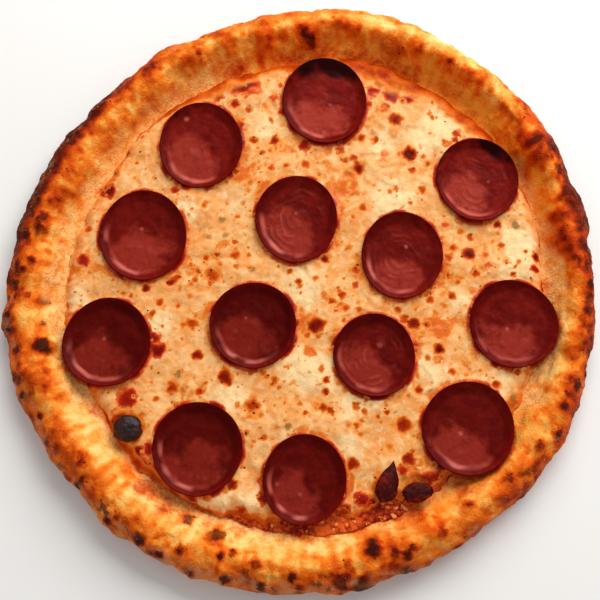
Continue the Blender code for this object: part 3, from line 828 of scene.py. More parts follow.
class NodeSketch:
    """Writes nodes into a tree from Python expressions."""

    def __init__(self, tree: bpy.types.NodeTree) -> None:
        """Keep the tree, emptied."""
        self.tree = tree
        tree.nodes.clear()

    def node(self, kind: str, settings: Optional[dict] = None, inputs: Optional[dict] = None) -> Any:
        """Add any node.

        Args:
            kind: the node's type name.
            settings: properties, set first; "stops" gives a ramp's positions and colours.
            inputs: values or links, by socket name or number.

        Returns:
            The new node.
        """
        made = self.tree.nodes.new(kind)
        for name, setting in (settings or {}).items():
            if name == "stops":
                self.set_stops(made.color_ramp, setting)
            else:
                setattr(made, name, setting)
        for name, given in (inputs or {}).items():
            self.feed(made.inputs[name], given)
        return made

    def set_stops(self, ramp: Any, stops: Sequence[tuple[float, Colour]]) -> None:
        """Give a ramp its positions and colours.

        Args:
            ramp: the node's ramp, which starts with two elements.
            stops: position and colour of each, from the left.
        """
        while len(ramp.elements) < len(stops):
            ramp.elements.new(1.0)
        for element, (position, colour) in zip(ramp.elements, stops):
            element.position = position
            element.color = colour

    def feed(self, socket: Any, given: Any) -> None:
        """Set a socket's value, or link it.

        Args:
            socket: the input.
            given: a plain value, a varying number or another node's socket.
        """
        if isinstance(given, Value):
            given = given.socket
        if isinstance(given, bpy.types.NodeSocket):
            self.tree.links.new(given, socket)
        else:
            socket.default_value = given

    def math(self, operation: str, first: Operand, second: Operand) -> Value:
        """Return the result of a new Math node."""
        made = self.node("ShaderNodeMath", {"operation": operation}, {0: first, 1: second})
        return Value(self, made.outputs[0])


class FinishSketch(NodeSketch):
    """Writes a material's nodes."""

    def __init__(self, name: str) -> None:
        """Start a material with an output and a Principled shader.

        Args:
            name: the material's name.
        """
        self.material = bpy.data.materials.new(name)
        self.material.use_nodes = True
        super().__init__(self.material.node_tree)
        self.shader = self.node("ShaderNodeBsdfPrincipled")
        output = self.node("ShaderNodeOutputMaterial")
        self.tree.links.new(self.shader.outputs["BSDF"], output.inputs["Surface"])
        self.place = self.node("ShaderNodeTexCoord").outputs["Object"]

    def attribute(self, name: str) -> Value:
        """Return a number that the mesh carries at its points."""
        return Value(self, self.node("ShaderNodeAttribute", {"attribute_name": name}).outputs["Fac"])

    def noise(self, size: float, detail: float = 2.0, roughness: float = 0.5, warp: float = 0.0) -> Value:
        """Return noise from 0 to 1.

        Args:
            size: the size of a lump in metres.
            detail: how many finer layers are added.
            roughness: how strong they are.
            warp: how far the noise bends itself.

        Returns:
            The noise's number.
        """
        inputs = {"Vector": self.place, "Scale": 1.0 / size, "Detail": detail}
        inputs.update({"Roughness": roughness, "Distortion": warp})
        return Value(self, self.node("ShaderNodeTexNoise", {}, inputs).outputs["Fac"])

    def cells(self, size: float) -> Value:
        """Return the distance to the nearest of scattered points, in cells."""
        made = self.node("ShaderNodeTexVoronoi", {}, {"Vector": self.place, "Scale": 1.0 / size})
        return Value(self, made.outputs["Distance"])

    def blots(self, size: float, share: float, warp: float) -> Value:
        """Return irregular blots, from 0 between them to 1 in their middles.

        Args:
            size: their mean distance in metres.
            share: the share of the cells that have one.
            warp: how far noise pulls them out of round, in metres.

        Returns:
            The blots' number.
        """
        waver = {"Vector": self.place, "Scale": 2.0 / size, "Detail": 2.0}
        bend = self.node("ShaderNodeTexNoise", {}, waver)
        inputs = {0: bend.outputs["Color"], 1: (warp, warp, warp), 2: self.place}
        bent = self.node("ShaderNodeVectorMath", {"operation": "MULTIPLY_ADD"}, inputs).outputs["Vector"]
        cell = self.node("ShaderNodeTexVoronoi", {}, {"Vector": bent, "Scale": 1.0 / size})
        parts = self.node("ShaderNodeSeparateColor", {}, {"Color": cell.outputs["Color"]})
        reach = (Value(self, parts.outputs["Red"]) - (1.0 - share)) * (0.55 / share)
        return self.between(reach - Value(self, cell.outputs["Distance"]), -0.12, 0.34)

    def between(self, value: Value, low: float, high: float) -> Value:
        """Return a smooth step from 0 to 1.

        Args:
            value: the number to ease.
            low: where the result is still 0.
            high: where it reaches 1.

        Returns:
            The eased number.
        """
        settings = {"interpolation_type": "SMOOTHSTEP"}
        inputs = {"Value": value, "From Min": low, "From Max": high}
        return Value(self, self.node("ShaderNodeMapRange", settings, inputs).outputs["Result"])

    def mix(self, factor: Operand, first: Any, second: Any, blend: str = "MIX") -> Any:
        """Mix two colours and return the result's socket."""
        settings = {"data_type": "RGBA", "blend_type": blend}
        return self.node("ShaderNodeMix", settings, {0: factor, 6: first, 7: second}).outputs[2]

    def ramp(self, value: Value, stops: Sequence[tuple[float, Colour]]) -> Any:
        """Return the colour that a number picks from a ramp."""
        return self.node("ShaderNodeValToRGB", {"stops": stops}, {"Fac": value}).outputs["Color"]

    def bumped(self, height: Value, distance: float, strength: float = 1.0) -> None:
        """Give the shader fine relief.

        Args:
            height: the relief, from about 0 to 1.
            distance: how high 1 stands, in metres.
            strength: how much of it shows.
        """
        inputs = {"Height": height, "Distance": distance, "Strength": strength}
        made = self.node("ShaderNodeBump", {}, inputs)
        self.tree.links.new(made.outputs["Normal"], self.shader.inputs["Normal"])

    def set(self, **inputs: Any) -> None:
        """Set or link the shader's sockets.

        Args:
            inputs: values or links by socket name, with an underscore for a space.
        """
        for name, given in inputs.items():
            self.feed(self.shader.inputs[name.replace("_", " ")], given)


def linear(red: float, green: float, blue: float) -> Colour:
    """Return a colour for the shader from screen values of 0 to 255."""
    shares = [value / 255.0 for value in (red, green, blue)]
    return tuple(s / 12.92 if s <= 0.04045 else ((s + 0.055) / 1.055) ** 2.4 for s in shares) + (1.0,)


@dataclass(frozen=True)
class CrustFinish:
    """Baked dough: pale gold to dark brown by its toast mask, with char, flour and oil."""

    stops: tuple = (
        (0.0, linear(252, 204, 122)),
        (0.20, linear(245, 168, 76)),
        (0.40, linear(234, 120, 30)),
        (0.60, linear(208, 82, 10)),
        (0.80, linear(160, 44, 4)),
        (1.0, linear(88, 22, 6)),
    )
    char: Colour = linear(50, 13, 5)
    smear: Colour = linear(250, 194, 122)
    smear_stain: Colour = linear(236, 138, 50)
    flour: Colour = linear(214, 160, 112)
    oil: Colour = linear(250, 150, 44)
    red: Colour = linear(158, 28, 3)
    red_film: Colour = linear(222, 84, 16)
    amber: Colour = linear(255, 196, 112)
    specular: float = 0.05

    def build(self) -> bpy.types.Material:
        """Build the crust's material.

        Returns:
            The material.
        """
        ink = FinishSketch("baked_crust")
        toast = ink.attribute("toast")
        char = ink.attribute("char")
        flour = ink.attribute("flour")
        oil = ink.attribute("oil")
        red = ink.attribute("red")
        under = ink.attribute("under")
        broad = ink.noise(11.0 * MM, 3.0, 0.55, 1.2)
        mottle = ink.noise(3.6 * MM, 4.0, 0.6, 0.7)
        fine = ink.noise(0.9 * MM, 3.0, 0.6)
        specks = ink.blots(5.0 * MM, 0.4, 2.4 * MM)
        scorched = ink.between(ink.noise(18.0 * MM, 4.0, 0.6, 0.4), 0.46, 0.70) * under
        browned = toast + (mottle - 0.5) * 0.46 + (broad - 0.5) * 0.72 + (fine - 0.5) * 0.12
        browned = browned + specks * 0.22 + scorched * 0.5
        colour = ink.ramp(browned.clamped(), self.stops)
        colour = ink.mix(ink.attribute("amber"), colour, self.amber, "MULTIPLY")
        colour = ink.mix(oil * ink.between(broad, 0.35, 0.65) * 0.62, colour, self.oil)
        smear = ink.mix(ink.between(mottle * 0.6 + fine * 0.4, 0.42, 0.60), self.smear, self.smear_stain)
        smeared = ink.attribute("smeared") + (mottle - 0.5) * 0.7
        colour = ink.mix(ink.between(smeared, 0.15, 0.75) * 0.85, colour, smear)
        depth = red + (mottle - 0.5) * 0.9 + (fine - 0.5) * 0.5 + (broad - 0.5) * 0.5
        stain = ink.mix(ink.between(depth, 0.3, 0.95), self.red_film, self.red)
        reddened = red + (mottle - 0.5) * 0.8 + (fine - 0.5) * 0.3
        colour = ink.mix(ink.between(reddened, 0.06, 0.66) * 0.86, colour, stain)
        dusted = ink.between(flour + (mottle - 0.5) * 1.2 + (fine - 0.5) * 0.9, 0.3, 1.05)
        colour = ink.mix(dusted * 0.5, colour, self.flour)
        char = char.highest(ink.blots(12.0 * MM, 0.4, 6.0 * MM) * under * 0.6)
        burnt = ink.between(char + (fine - 0.5) * 0.5 + (mottle - 0.5) * 0.4, 0.2, 1.0)
        colour = ink.mix(burnt * 0.88, colour, self.char)
        rough = (0.66 - oil * 0.3 + dusted * 0.2).clamped()
        ink.set(Base_Color=colour, Roughness=rough, Specular_IOR_Level=self.specular)
        ink.set(Coat_Weight=(oil * 0.22).clamped(), Coat_Roughness=0.3)
        pores = ink.between(ink.cells(1.7 * MM), 0.05, 0.45)
        ink.bumped(mottle * 0.9 + fine * 0.45 + pores * 0.3, 0.7 * MM, 0.8)
        return ink.material


@dataclass(frozen=True)
class CheeseFinish:
    """Melted cheese: cream pools, warm yellow, orange oil stains and browned spots."""

    pale: Colour = linear(247, 208, 152)
    cream: Colour = linear(242, 182, 118)
    warm: Colour = linear(233, 150, 78)
    light_stain: Colour = linear(240, 160, 66)
    stain: Colour = linear(216, 98, 24)
    tan: Colour = linear(214, 158, 86)
    green: Colour = linear(132, 88, 18)
    browned_stops: tuple = (
        (0.0, linear(243, 172, 96)),
        (0.22, linear(234, 140, 56)),
        (0.42, linear(212, 96, 20)),
        (0.60, linear(176, 54, 3)),
        (0.80, linear(138, 26, 1)),
        (1.0, linear(84, 6, 1)),
    )
    red_stops: tuple = (
        (0.0, linear(238, 150, 84)),
        (0.35, linear(222, 92, 32)),
        (0.65, linear(168, 30, 6)),
        (1.0, linear(112, 8, 3)),
    )
    specular: float = 0.04

    def build(self) -> bpy.types.Material:
        """Build the cheese's material.

        Returns:
            The material.
        """
        ink = FinishSketch("melted_cheese")
        mottle = ink.noise(9.0 * MM, 4.0, 0.55, 1.0)
        small = ink.noise(2.6 * MM, 3.0, 0.6, 0.8)
        fine = ink.noise(0.8 * MM, 2.0, 0.5)
        clusters = ink.between(ink.noise(24.0 * MM, 2.0), 0.40, 0.60)
        pale = ink.attribute("pale")
        oil = ink.attribute("oil")
        brown = ink.attribute("brown")
        red = ink.attribute("red")
        green = ink.attribute("green")
        browned_edge_and_shade = ink.attribute("browned_edge_and_shade")
        colour = ink.mix(ink.between(mottle, 0.36, 0.60), self.cream, self.warm)
        colour = ink.mix(ink.between(pale + (mottle - 0.5) * 0.5, 0.15, 0.7), colour, self.pale)
        veined = ink.between(ink.noise(5.0 * MM, 4.0, 0.65, 1.6), 0.50, 0.68)
        colour = ink.mix(veined * 0.5, colour, self.tan)
        curds = ink.between(ink.noise(3.4 * MM, 3.0, 0.6, 0.6), 0.54, 0.70)
        colour = ink.mix(curds * 0.55, colour, self.pale)
        puddles = ink.blots(8.0 * MM, 0.5, 5.0 * MM) * (clusters * 0.6 + 0.4)
        soaked = oil.highest(puddles * 0.62) + (small - 0.5) * 0.8 + (mottle - 0.5) * 0.6
        soaked = soaked + (clusters - 0.45) * 0.22
        soaked = ink.between(soaked, 0.18, 0.80)
        oiled = ink.between(soaked, 0.0, 0.7)
        colour = ink.mix(oiled, colour, ink.mix(soaked, self.light_stain, self.stain))
        colour = ink.mix(ink.between(green + (fine - 0.5) * 0.3, 0.2, 0.8) * 0.8, colour, self.green)
        reddened = (red + (small - 0.5) * 0.55).clamped()
        colour = ink.mix(ink.between(reddened, 0.12, 0.36), colour, ink.ramp(reddened, self.red_stops))
        blots = ink.blots(6.0 * MM, 0.42, 4.0 * MM) * (clusters * 0.50 + 0.14)
        dots = ink.blots(3.0 * MM, 0.24, 2.0 * MM) * ((1.0 - clusters) * 0.14 + 0.24)
        # the edge mask: real browning along the cheese's edge, and painted shade in the wide band on the far
        # side
        browned = brown.highest(blots).highest(dots).highest(browned_edge_and_shade * 0.62)
        browned = (browned + (small - 0.5) * 0.3 * ink.between(browned, 0.05, 0.3)).clamped()
        colour = ink.mix(ink.between(browned, 0.04, 0.32), colour, ink.ramp(browned, self.browned_stops))
        ink.set(Base_Color=colour, Roughness=(0.44 + fine * 0.12 - soaked * 0.1).clamped())
        ink.set(Subsurface_Weight=0.06, Subsurface_Scale=0.002, Subsurface_Radius=(1.0, 0.5, 0.22))
        ink.set(Specular_IOR_Level=self.specular)
        wet = (0.05 + soaked * 0.2) * (1.0 - browned)
        ink.set(Coat_Weight=wet.clamped(), Coat_Roughness=0.14)
        ink.bumped(small * 0.7 + fine * 0.3 + mottle * 0.6 - browned * 0.4, 0.5 * MM, 0.65)
        return ink.material


@dataclass(frozen=True)
class SauceFinish:
    """Cooked tomato sauce under a film of orange oil."""

    deep: Colour = linear(128, 14, 3)
    bright: Colour = linear(226, 92, 22)

    def build(self) -> bpy.types.Material:
        """Build the sauce's material.

        Returns:
            The material.
        """
        ink = FinishSketch("tomato_sauce")
        pulp = ink.noise(2.2 * MM, 4.0, 0.6, 0.4)
        broad = ink.noise(12.0 * MM, 2.0)
        colour = ink.mix(ink.between(pulp * 0.6 + broad * 0.6, 0.50, 0.74), self.deep, self.bright)
        ink.set(Base_Color=colour, Roughness=(0.26 + pulp * 0.2).clamped(), Specular_IOR_Level=0.08)
        ink.set(Coat_Weight=(ink.between(pulp, 0.5, 0.7) * 0.3).clamped(), Coat_Roughness=0.12)
        ink.bumped(pulp, 1.0 * MM, 0.8)
        return ink.material


@dataclass(frozen=True)
class PepperoniFinish:
    """Cured sausage: dark at the lip, with painted light on a patch towards the lower side, painted shade
    and painted highlights.
    """

    dark: Colour = linear(90, 4, 3)
    mid: Colour = linear(114, 9, 6)
    dusk: Colour = linear(60, 1, 1)
    light: Colour = linear(154, 48, 36)
    dim: Colour = linear(118, 26, 16)
    # the lip's dark colour, as on its shaded upper side, then the lighter colour painted on its lit lower
    # side
    lip: Colour = linear(74, 2, 1)
    painted_lit_lip: Colour = linear(112, 10, 4)
    # pale pink: the colour of real fat flecks and of the painted highlights
    fat_and_highlight: Colour = linear(208, 100, 84)
    char: Colour = linear(14, 2, 4)
    specular: float = 0.02

    def build(self) -> bpy.types.Material:
        """Build the slices' material.

        Returns:
            The material.
        """
        ink = FinishSketch("oily_pepperoni")
        painted_lit_patch = ink.attribute("painted_lit_patch")
        lip = ink.attribute("lip")
        burnt = ink.attribute("burnt")
        painted_highlight = ink.attribute("painted_highlight")
        grain = ink.noise(1.3 * MM, 3.0, 0.6)
        broad = ink.noise(7.0 * MM, 3.0, 0.5, 0.5)
        flecks = ink.blots(3.4 * MM, 0.4, 2.0 * MM)
        arcs = ink.attribute("arcs")
        dusk = ink.attribute("dusk")
        painted_lit_lip = ink.attribute("painted_lit_lip")
        colour = ink.mix(ink.between(grain * 0.5 + broad * 0.8, 0.50, 0.80), self.dark, self.mid)
        colour = ink.mix(dusk * 0.9, colour, self.dusk)
        lit = ink.mix(dusk, self.light, self.dim)
        # painted light: the lit patch of the floor takes a lighter red
        colour = ink.mix((painted_lit_patch * (1.04 + (grain - 0.5) * 1.1 + (broad - 0.5) * 2.2)).clamped(), colour, lit)
        colour = ink.mix((flecks * (0.01 + painted_lit_patch * 0.07)).clamped(), colour, self.fat_and_highlight)
        colour = ink.mix((arcs * (0.05 + painted_lit_patch * 0.20)).clamped(), colour, self.fat_and_highlight)
        colour = ink.mix(ink.attribute("shade") * 0.75, colour, self.dusk)
        colour = ink.mix((lip * 0.92).clamped(), colour, ink.mix(painted_lit_lip, self.lip, self.painted_lit_lip))
        # painted highlight: a pale broken line on the inner wall's lower side, and glint dots
        colour = ink.mix(painted_highlight.clamped() * 0.75, colour, self.fat_and_highlight)
        colour = ink.mix(ink.between(burnt + (grain - 0.5) * 0.3, 0.1, 1.0) * 0.88, colour, self.char)
        ink.set(Base_Color=colour, Roughness=(0.34 + grain * 0.14 + burnt * 0.1).clamped())
        ink.set(Coat_Weight=(0.02 + painted_lit_patch * 0.03 + painted_highlight * 0.2).clamped(), Coat_Roughness=0.3)
        ink.set(Specular_IOR_Level=self.specular)
        ink.bumped(grain * 0.5 + flecks * 0.25 + broad * 0.4, 0.3 * MM, 0.6)
        return ink.material


@dataclass(frozen=True)
class CharFinish:
    """Charred scraps: near black, with brown in patches of noise."""

    name: str = "charred_scrap"
    dark: Colour = linear(54, 6, 5)
    brown: Colour = linear(124, 24, 10)
    roughness: float = 0.34
    specular: float = 0.08

    def build(self) -> bpy.types.Material:
        """Build the scraps' material.

        Returns:
            The material.
        """
        ink = FinishSketch(self.name)
        broad = ink.noise(5.0 * MM, 3.0, 0.6)
        fine = ink.noise(1.0 * MM, 3.0, 0.6)
        colour = ink.mix(ink.between(broad + (fine - 0.5) * 0.4, 0.42, 0.72), self.dark, self.brown)
        ink.set(Base_Color=colour, Roughness=(self.roughness + fine * 0.25).clamped())
        ink.set(Specular_IOR_Level=self.specular)
        ink.bumped(fine * 0.6 + broad, 0.6 * MM, 0.8)
        return ink.material


@dataclass(frozen=True)
class SpeckFinish:
    """A plain finish with two colours mixed by noise, for crumbs, flakes and beads of oil."""

    name: str
    first: Colour
    second: Colour
    roughness: float
    grain: float = 0.8 * MM
    coat: float = 0.0

    def build(self) -> bpy.types.Material:
        """Build the specks' material.

        Returns:
            The material.
        """
        ink = FinishSketch(self.name)
        mottle = ink.noise(self.grain * 6.0, 2.0)
        fine = ink.noise(self.grain, 2.0)
        colour = ink.mix(ink.between(mottle * 0.7 + fine * 0.3, 0.38, 0.62), self.first, self.second)
        ink.set(Base_Color=colour, Roughness=(self.roughness + fine * 0.1).clamped(), Coat_Weight=self.coat)
        ink.set(Coat_Roughness=0.08, Specular_IOR_Level=0.06)
        ink.bumped(fine, 0.1 * MM, 0.5)
        return ink.material


def new_piece(
    name: str, points: Array, faces: Sequence[Sequence[int]], material: bpy.types.Material,
    masks: Optional[dict[str, Array]] = None,
) -> bpy.types.Object:
    """Make a smooth mesh object.

    Args:
        name: the piece's name.
        points: one row of three coordinates a point.
        faces: the corner numbers of each face, seen anticlockwise from outside.
        material: its finish.
        masks: numbers for the finish, one a point, by attribute name.

    Returns:
        The new object.
    """
    mesh = bpy.data.meshes.new(name)
    mesh.from_pydata(points.tolist(), [], faces)
    mesh.materials.append(material)
    for label, mask in (masks or {}).items():
        mesh.attributes.new(label, "FLOAT", "POINT").data.foreach_set("value", mask.astype(np.float32))
    mesh.validate()
    mesh.shade_smooth()
    return put_in_scene(name, mesh)


def turned_faces(rings: int, steps: int) -> list[tuple[int, ...]]:
    """Return the faces of a turned body whose points run ring by ring, then its first and last pole.

    Args:
        rings: how many rings there are.
        steps: how many points a ring has.

    Returns:
        The corner numbers of each face.
    """
    faces = []
    for ring in range(rings - 1):
        for step in range(steps):
            after = (step + 1) % steps
            near, far = ring * steps, (ring + 1) * steps
            faces.append((near + step, far + step, far + after, near + after))
    first, last = rings * steps, rings * steps + 1
    for step in range(steps):
        after = (step + 1) % steps
        faces.append((first, step, after))
        faces.append((last, (rings - 1) * steps + after, (rings - 1) * steps + step))
    return faces


def turned_grid(section: Array, steps: int) -> tuple[Array, Array, Array]:
    """Return the evenly turned radius, height and azimuth of every point of a section.

    Args:
        section: rows of radius and height, from the first pole to the last; the poles are its ends.
        steps: how many points a ring has.

    Returns:
        Three arrays, ring by ring, with the two poles at the end.
    """
    rings = section[1:-1]
    azimuth = np.arange(steps) * 360.0 / steps
    radii = np.repeat(rings[:, 0], steps)
    heights = np.repeat(rings[:, 1], steps)
    azimuths = np.tile(azimuth, len(rings))
    poles = section[[0, -1]]
    return (
        np.concatenate([radii, poles[:, 0]]),
        np.concatenate([heights, poles[:, 1]]),
        np.concatenate([azimuths, [0.0, 0.0]]),
    )


def register(piece: bpy.types.Object, slot: Slot, node: Optional[str] = None) -> bpy.types.Object:
    """Fix a piece to the pizza's body, and let it stand for a node.

    Args:
        piece: the dressed piece.
        slot: its material slot; not used.
        node: the node that it replaces, if any.

    Returns:
        The same piece.
    """
    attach(piece, BODY)
    if node:
        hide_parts(node)
    LOG.info("%s: %d faces", piece.name, len(piece.data.polygons))
    return piece


def strongest(azimuth: Array, sides: Sides, full_at: float) -> Array:
    """Return the strongest of some bumps round the circle.

    Args:
        azimuth: degrees.
        sides: middle, half width and strength of each.
        full_at: the height of a bump from which it counts in full.

    Returns:
        A mask from 0 to the largest strength.
    """
    eased = [size * smooth(0.0, full_at, bump(azimuth, middle, half)) for middle, half, size in sides]
    return np.max(eased, axis=0)


def bumps(azimuth: Array, sides: Sides) -> Array:
    """Return the sum of some bumps round the circle."""
    return sum(size * bump(azimuth, middle, half) for middle, half, size in sides)


@dataclass(frozen=True)
class Skin:
    """Where the crust's points lie."""

    points: Array
    turned: Array
    height: Array
    azimuth: Array
    lumps: Array  # how far each point stands out of the plain form
    inward: Array  # 0 at the rim's outer edge, 1 at the foot of its inner slope
    underside: tuple[float, float] = (0.2 * MM, 2.2 * MM)
    lit_side: tuple[float, float] = (2.6 * MM, 4.6 * MM)

    @property
    def under(self) -> Array:
        """Return a mask of the underside."""
        return 1.0 - smooth(*self.underside, self.height)

    @property
    def airy(self) -> Array:
        """Return a mask of all but the underside."""
        return 1.0 - self.under

    @property
    def top_side(self) -> Array:
        """Return a mask of what is seen from above."""
        return smooth(*self.lit_side, self.height)

    def relief(self, scale: float, shift: float) -> Array:
        """Return soft noise at the points."""
        return relief(self.points, scale, shift)


@dataclass
class Crust:
    """The crust: dish, blistered rim and floury underside, in one mesh."""

    form: PizzaForm
    layout: SliceLayout
    painter: Painter
    features: Features
    steps: int = 760
    dish_rings: tuple = (0.0, 40.0, 80.0, 100.0, 108.0, 114.0, 118.0)  # radii in mm
    under_rings: tuple = (136.0, 130.0, 122.0, 112.0, 100.0, 86.0, 70.0, 50.0, 26.0, 0.0)
    inner_rings: int = 34
    outer_rings: int = 26
    lower_rings: int = 16
    crag_height: float = 2.4 * MM
    crag_scale: float = 19.0 * MM
    fine_crag_share: float = 0.45
    fine_crag_scale: float = 9.0 * MM
    crag_start: float = 7.2 * MM  # past the rim's foot, clear of the sauce
    crag_fade: float = 3.0 * MM
    wrinkle_layers: tuple = ((0.75 * MM, 5.2 * MM, 3.1), (0.42 * MM, 2.4 * MM, 8.7))
    fold_depth: float = 0.6 * MM
    bubble_share: float = 0.28
    bubble_reach: float = 1.5
    blisters: tuple = (  # azimuth, radius, half width and height in mm
        (-75.0, 137.0, 7.5, 2.4), (-107.0, 132.0, 6.0, 1.4), (-69.0, 142.0, 5.0, 1.2),
        (168.0, 133.0, 8.0, 1.8), (7.0, 139.0, 10.0, 1.6), (17.0, 142.0, 7.0, 1.8),
        (30.0, 139.0, 11.0, 1.8), (98.0, 130.0, 9.0, 1.8), (140.0, 138.0, 8.0, 1.2),
        (-164.0, 131.0, 8.0, 1.6), (-36.0, 142.0, 7.0, 1.4), (-138.0, 139.0, 9.0, 1.4),
        (62.0, 138.0, 12.0, 1.2),
    )
    toasted_sides: tuple = (  # azimuth, half width, how much darker the rim is inside its crest
        (82.0, 26.0, 0.05), (20.0, 34.0, 0.12), (150.0, 40.0, 0.12), (-70.0, 30.0, 0.04),
    )
    pale_slopes: tuple = (  # azimuth, half width, how much lighter the inner slope is
        (-138.0, 50.0, 0.25), (-100.0, 34.0, 0.15), (-18.0, 34.0, 0.36), (-50.0, 24.0, 0.36),
        (54.0, 50.0, 0.26),
    )
    pale_edges: tuple = (  # azimuth, half width, how much lighter the outer edge is
        (84.0, 58.0, 0.42), (-45.0, 40.0, 0.18), (54.0, 40.0, 0.36), (-122.0, 62.0, 0.26),
        (-80.0, 30.0, 0.10), (150.0, 36.0, -0.38), (14.0, 24.0, -0.24),
    )
    reddened_foot: tuple = (  # azimuth, half width, how red the slope's foot is
        (-92.0, 60.0, 0.42), (78.0, 34.0, 0.56), (-136.0, 24.0, 0.50), (-48.0, 26.0, 0.38),
        (120.0, 40.0, 0.16), (48.0, 30.0, 0.32),
    )
    amber_slopes: tuple = (  # azimuth, half width, how orange the oily slope is
        (46.0, 54.0, 1.0), (84.0, 36.0, 0.9), (12.0, 30.0, 0.8), (112.0, 34.0, 0.2), (-46.0, 34.0, 0.8),
    )
    smeared_foot: tuple = (  # azimuth, half width, how strongly cheese is smeared on the slope's foot
        (-168.0, 34.0, 1.0), (166.0, 34.0, 0.75), (-12.0, 30.0, 1.0), (16.0, 24.0, 0.6),
        (134.0, 40.0, 0.55), (-60.0, 30.0, 0.4), (-110.0, 34.0, 0.4),
    )
    blotches: int = 190
    edge_burns: int = 420
    edge_toast: float = 0.79
    under_toast: float = 0.22
    calm_height: float = 20.4 * MM
    calm_share: float = 0.5
    gap_below_slices: float = 0.5 * MM

    def section(self) -> Array:
        """Return the crust's section.

        Returns:
            Rows of radius and height, from the top pole to the bottom pole.
        """
        form = self.form
        dish = form.turned_dish
        rows = [(radius * MM, form.dish_height) for radius in self.dish_rings]
        for share in np.linspace(0.0, 1.0, self.inner_rings):
            radius = dish + share * (form.turned_crest - dish)
            rows.append((radius, float(form.crust_height(radius))))
        for angle in np.linspace(0.0, math.pi / 2.0, self.outer_rings + 1)[1:]:
            height = form.belly_height + (form.rim_height - form.belly_height) * math.cos(angle)
            rows.append((form.turned_crest + form.crest_inset * math.sin(angle), height))
        foot = form.mean_radius - form.foot_inset
        for angle in np.linspace(0.0, math.pi / 2.0, self.lower_rings + 1)[1:]:
            height = form.belly_height * (1.0 - math.sin(angle))
            rows.append((foot + form.foot_inset * math.cos(angle), height))
        rows += [(radius * MM, 0.0) for radius in self.under_rings]
        return np.array(rows)

    def normals(self, section: Array) -> Array:
        """Return which way the section faces.

        Args:
            section: rows of radius and height.

        Returns:
            The outward direction at each row.
        """
        along = np.gradient(section, axis=0)
        across = np.stack([-along[:, 1], along[:, 0]], axis=1)
        return across / np.maximum(np.linalg.norm(across, axis=1, keepdims=True), 1e-9)

    def crags(self, points: Array, turned: Array, height: Array) -> Array:
        """Return the coarse relief and the blisters.

        Args:
            points: the plain form's points.
            turned: their radii on the evenly turned pizza.
            height: their heights.

        Returns:
            How far the rim stands out at each point.
        """
        form = self.form
        start = form.turned_dish + self.crag_start
        rim = smooth(start - self.crag_fade, start + self.crag_fade, turned)
        rim = rim * smooth(1.0 * MM, 4.5 * MM, height)
        fine = self.fine_crag_share * relief(points, self.fine_crag_scale)
        result = (relief(points, self.crag_scale) + fine) * self.crag_height
        for azimuth, radius, half_width, size in self.blisters:
            middle = form.placed(np.array([radius * MM]), np.array([azimuth]), 0.0)[0]
            away = np.hypot(points[:, 0] - middle[0], points[:, 1] - middle[1]) / (half_width * MM)
            result += size * MM * dome(away)
        return result * rim

    def wrinkles(self, points: Array, turned: Array, height: Array) -> Array:
        """Return the fine relief: wrinkles, folds and small blisters of the baked skin.

        Args:
            points: the plain form's points.
            turned: their radii on the evenly turned pizza.
            height: their heights.

        Returns:
            How far the skin stands out at each point.
        """
        dish, crest = self.form.turned_dish, self.form.turned_crest
        rim = smooth(dish - 2.0 * MM, dish + 6.0 * MM, turned) * smooth(0.4 * MM, 2.5 * MM, height)
        outer = 0.6 + 0.7 * smooth(crest - 4.0 * MM, crest + 6.0 * MM, turned)
        soft = layered(points, self.wrinkle_layers)
        folded = smooth(-0.1, 0.3, relief(points, 24.0 * MM, 5.0))
        folds = -self.fold_depth * ridged(points, 12.0 * MM, 21.0) * folded
        bubbles = np.zeros(len(points))
        for x, y, radius, strength in self.painter.places(self.features.rim_spots):
            away = np.hypot(points[:, 0] - x, points[:, 1] - y) / (self.bubble_reach * radius)
            bubbles += self.bubble_share * strength * radius * (1.0 - np.minimum(away, 1.0) ** 2) ** 2
        return (soft * outer + folds) * rim + bubbles * rim

    def blots(self, skin: Skin, places: Spots, softness: float, ragged: float) -> Array:
        """Return the mask of spots on the crust."""
        return self.painter.mask_of_places(skin.points[:, 0], skin.points[:, 1], places, softness, ragged)

    def toast(self, skin: Skin, spots: Array) -> Array:
        """Return how darkly the crust is baked.

        Args:
            skin: the crust's points.
            spots: the mask of the dark spots.

        Returns:
            A mask from 0, pale, to 1, dark.
        """
        form, inward, azimuth = self.form, skin.inward, skin.azimuth
        toast = self.edge_toast - 0.38 * smooth(0.10, 0.44, inward) - 0.16 * smooth(0.42, 0.85, inward)
        toast = toast - 0.10 * smooth(0.85, 1.05, inward)
        toast = toast - bumps(azimuth, self.pale_slopes) * smooth(0.35, 0.7, inward)
        toast = toast + bumps(azimuth, self.toasted_sides) * smooth(0.2, 0.8, inward)
        toast = toast - bumps(azimuth, self.pale_edges) * (1.0 - smooth(0.16, 0.54, inward))
        streaks = relief(flat_points(np.radians(azimuth) * 0.13, skin.turned * 0.28), 3.4 * MM, 61.0)
        streaks = streaks * smooth(0.3, 0.5, inward) * (1.0 - bump(azimuth, 0.0, 8.0))
        toast = toast + 0.24 * skin.relief(17.0 * MM, 2.0) + 0.22 * skin.relief(7.0 * MM, 4.0)
        toast = toast + 0.26 * streaks + 0.10 * np.clip(skin.lumps / (1.5 * MM), -1.0, 1.2)
        ring = (form.turned_dish + 5.0 * MM, form.mean_radius)
        soft = scattered_places(self.blotches, ring, (1.0 * MM, 3.6 * MM), (0.3, 0.8), form, 5)
        toast = toast + (0.45 * spots + 0.34 * self.blots(skin, soft, 0.7, 0.7)) * skin.top_side
        return toast * skin.airy + skin.under * self.under_toast

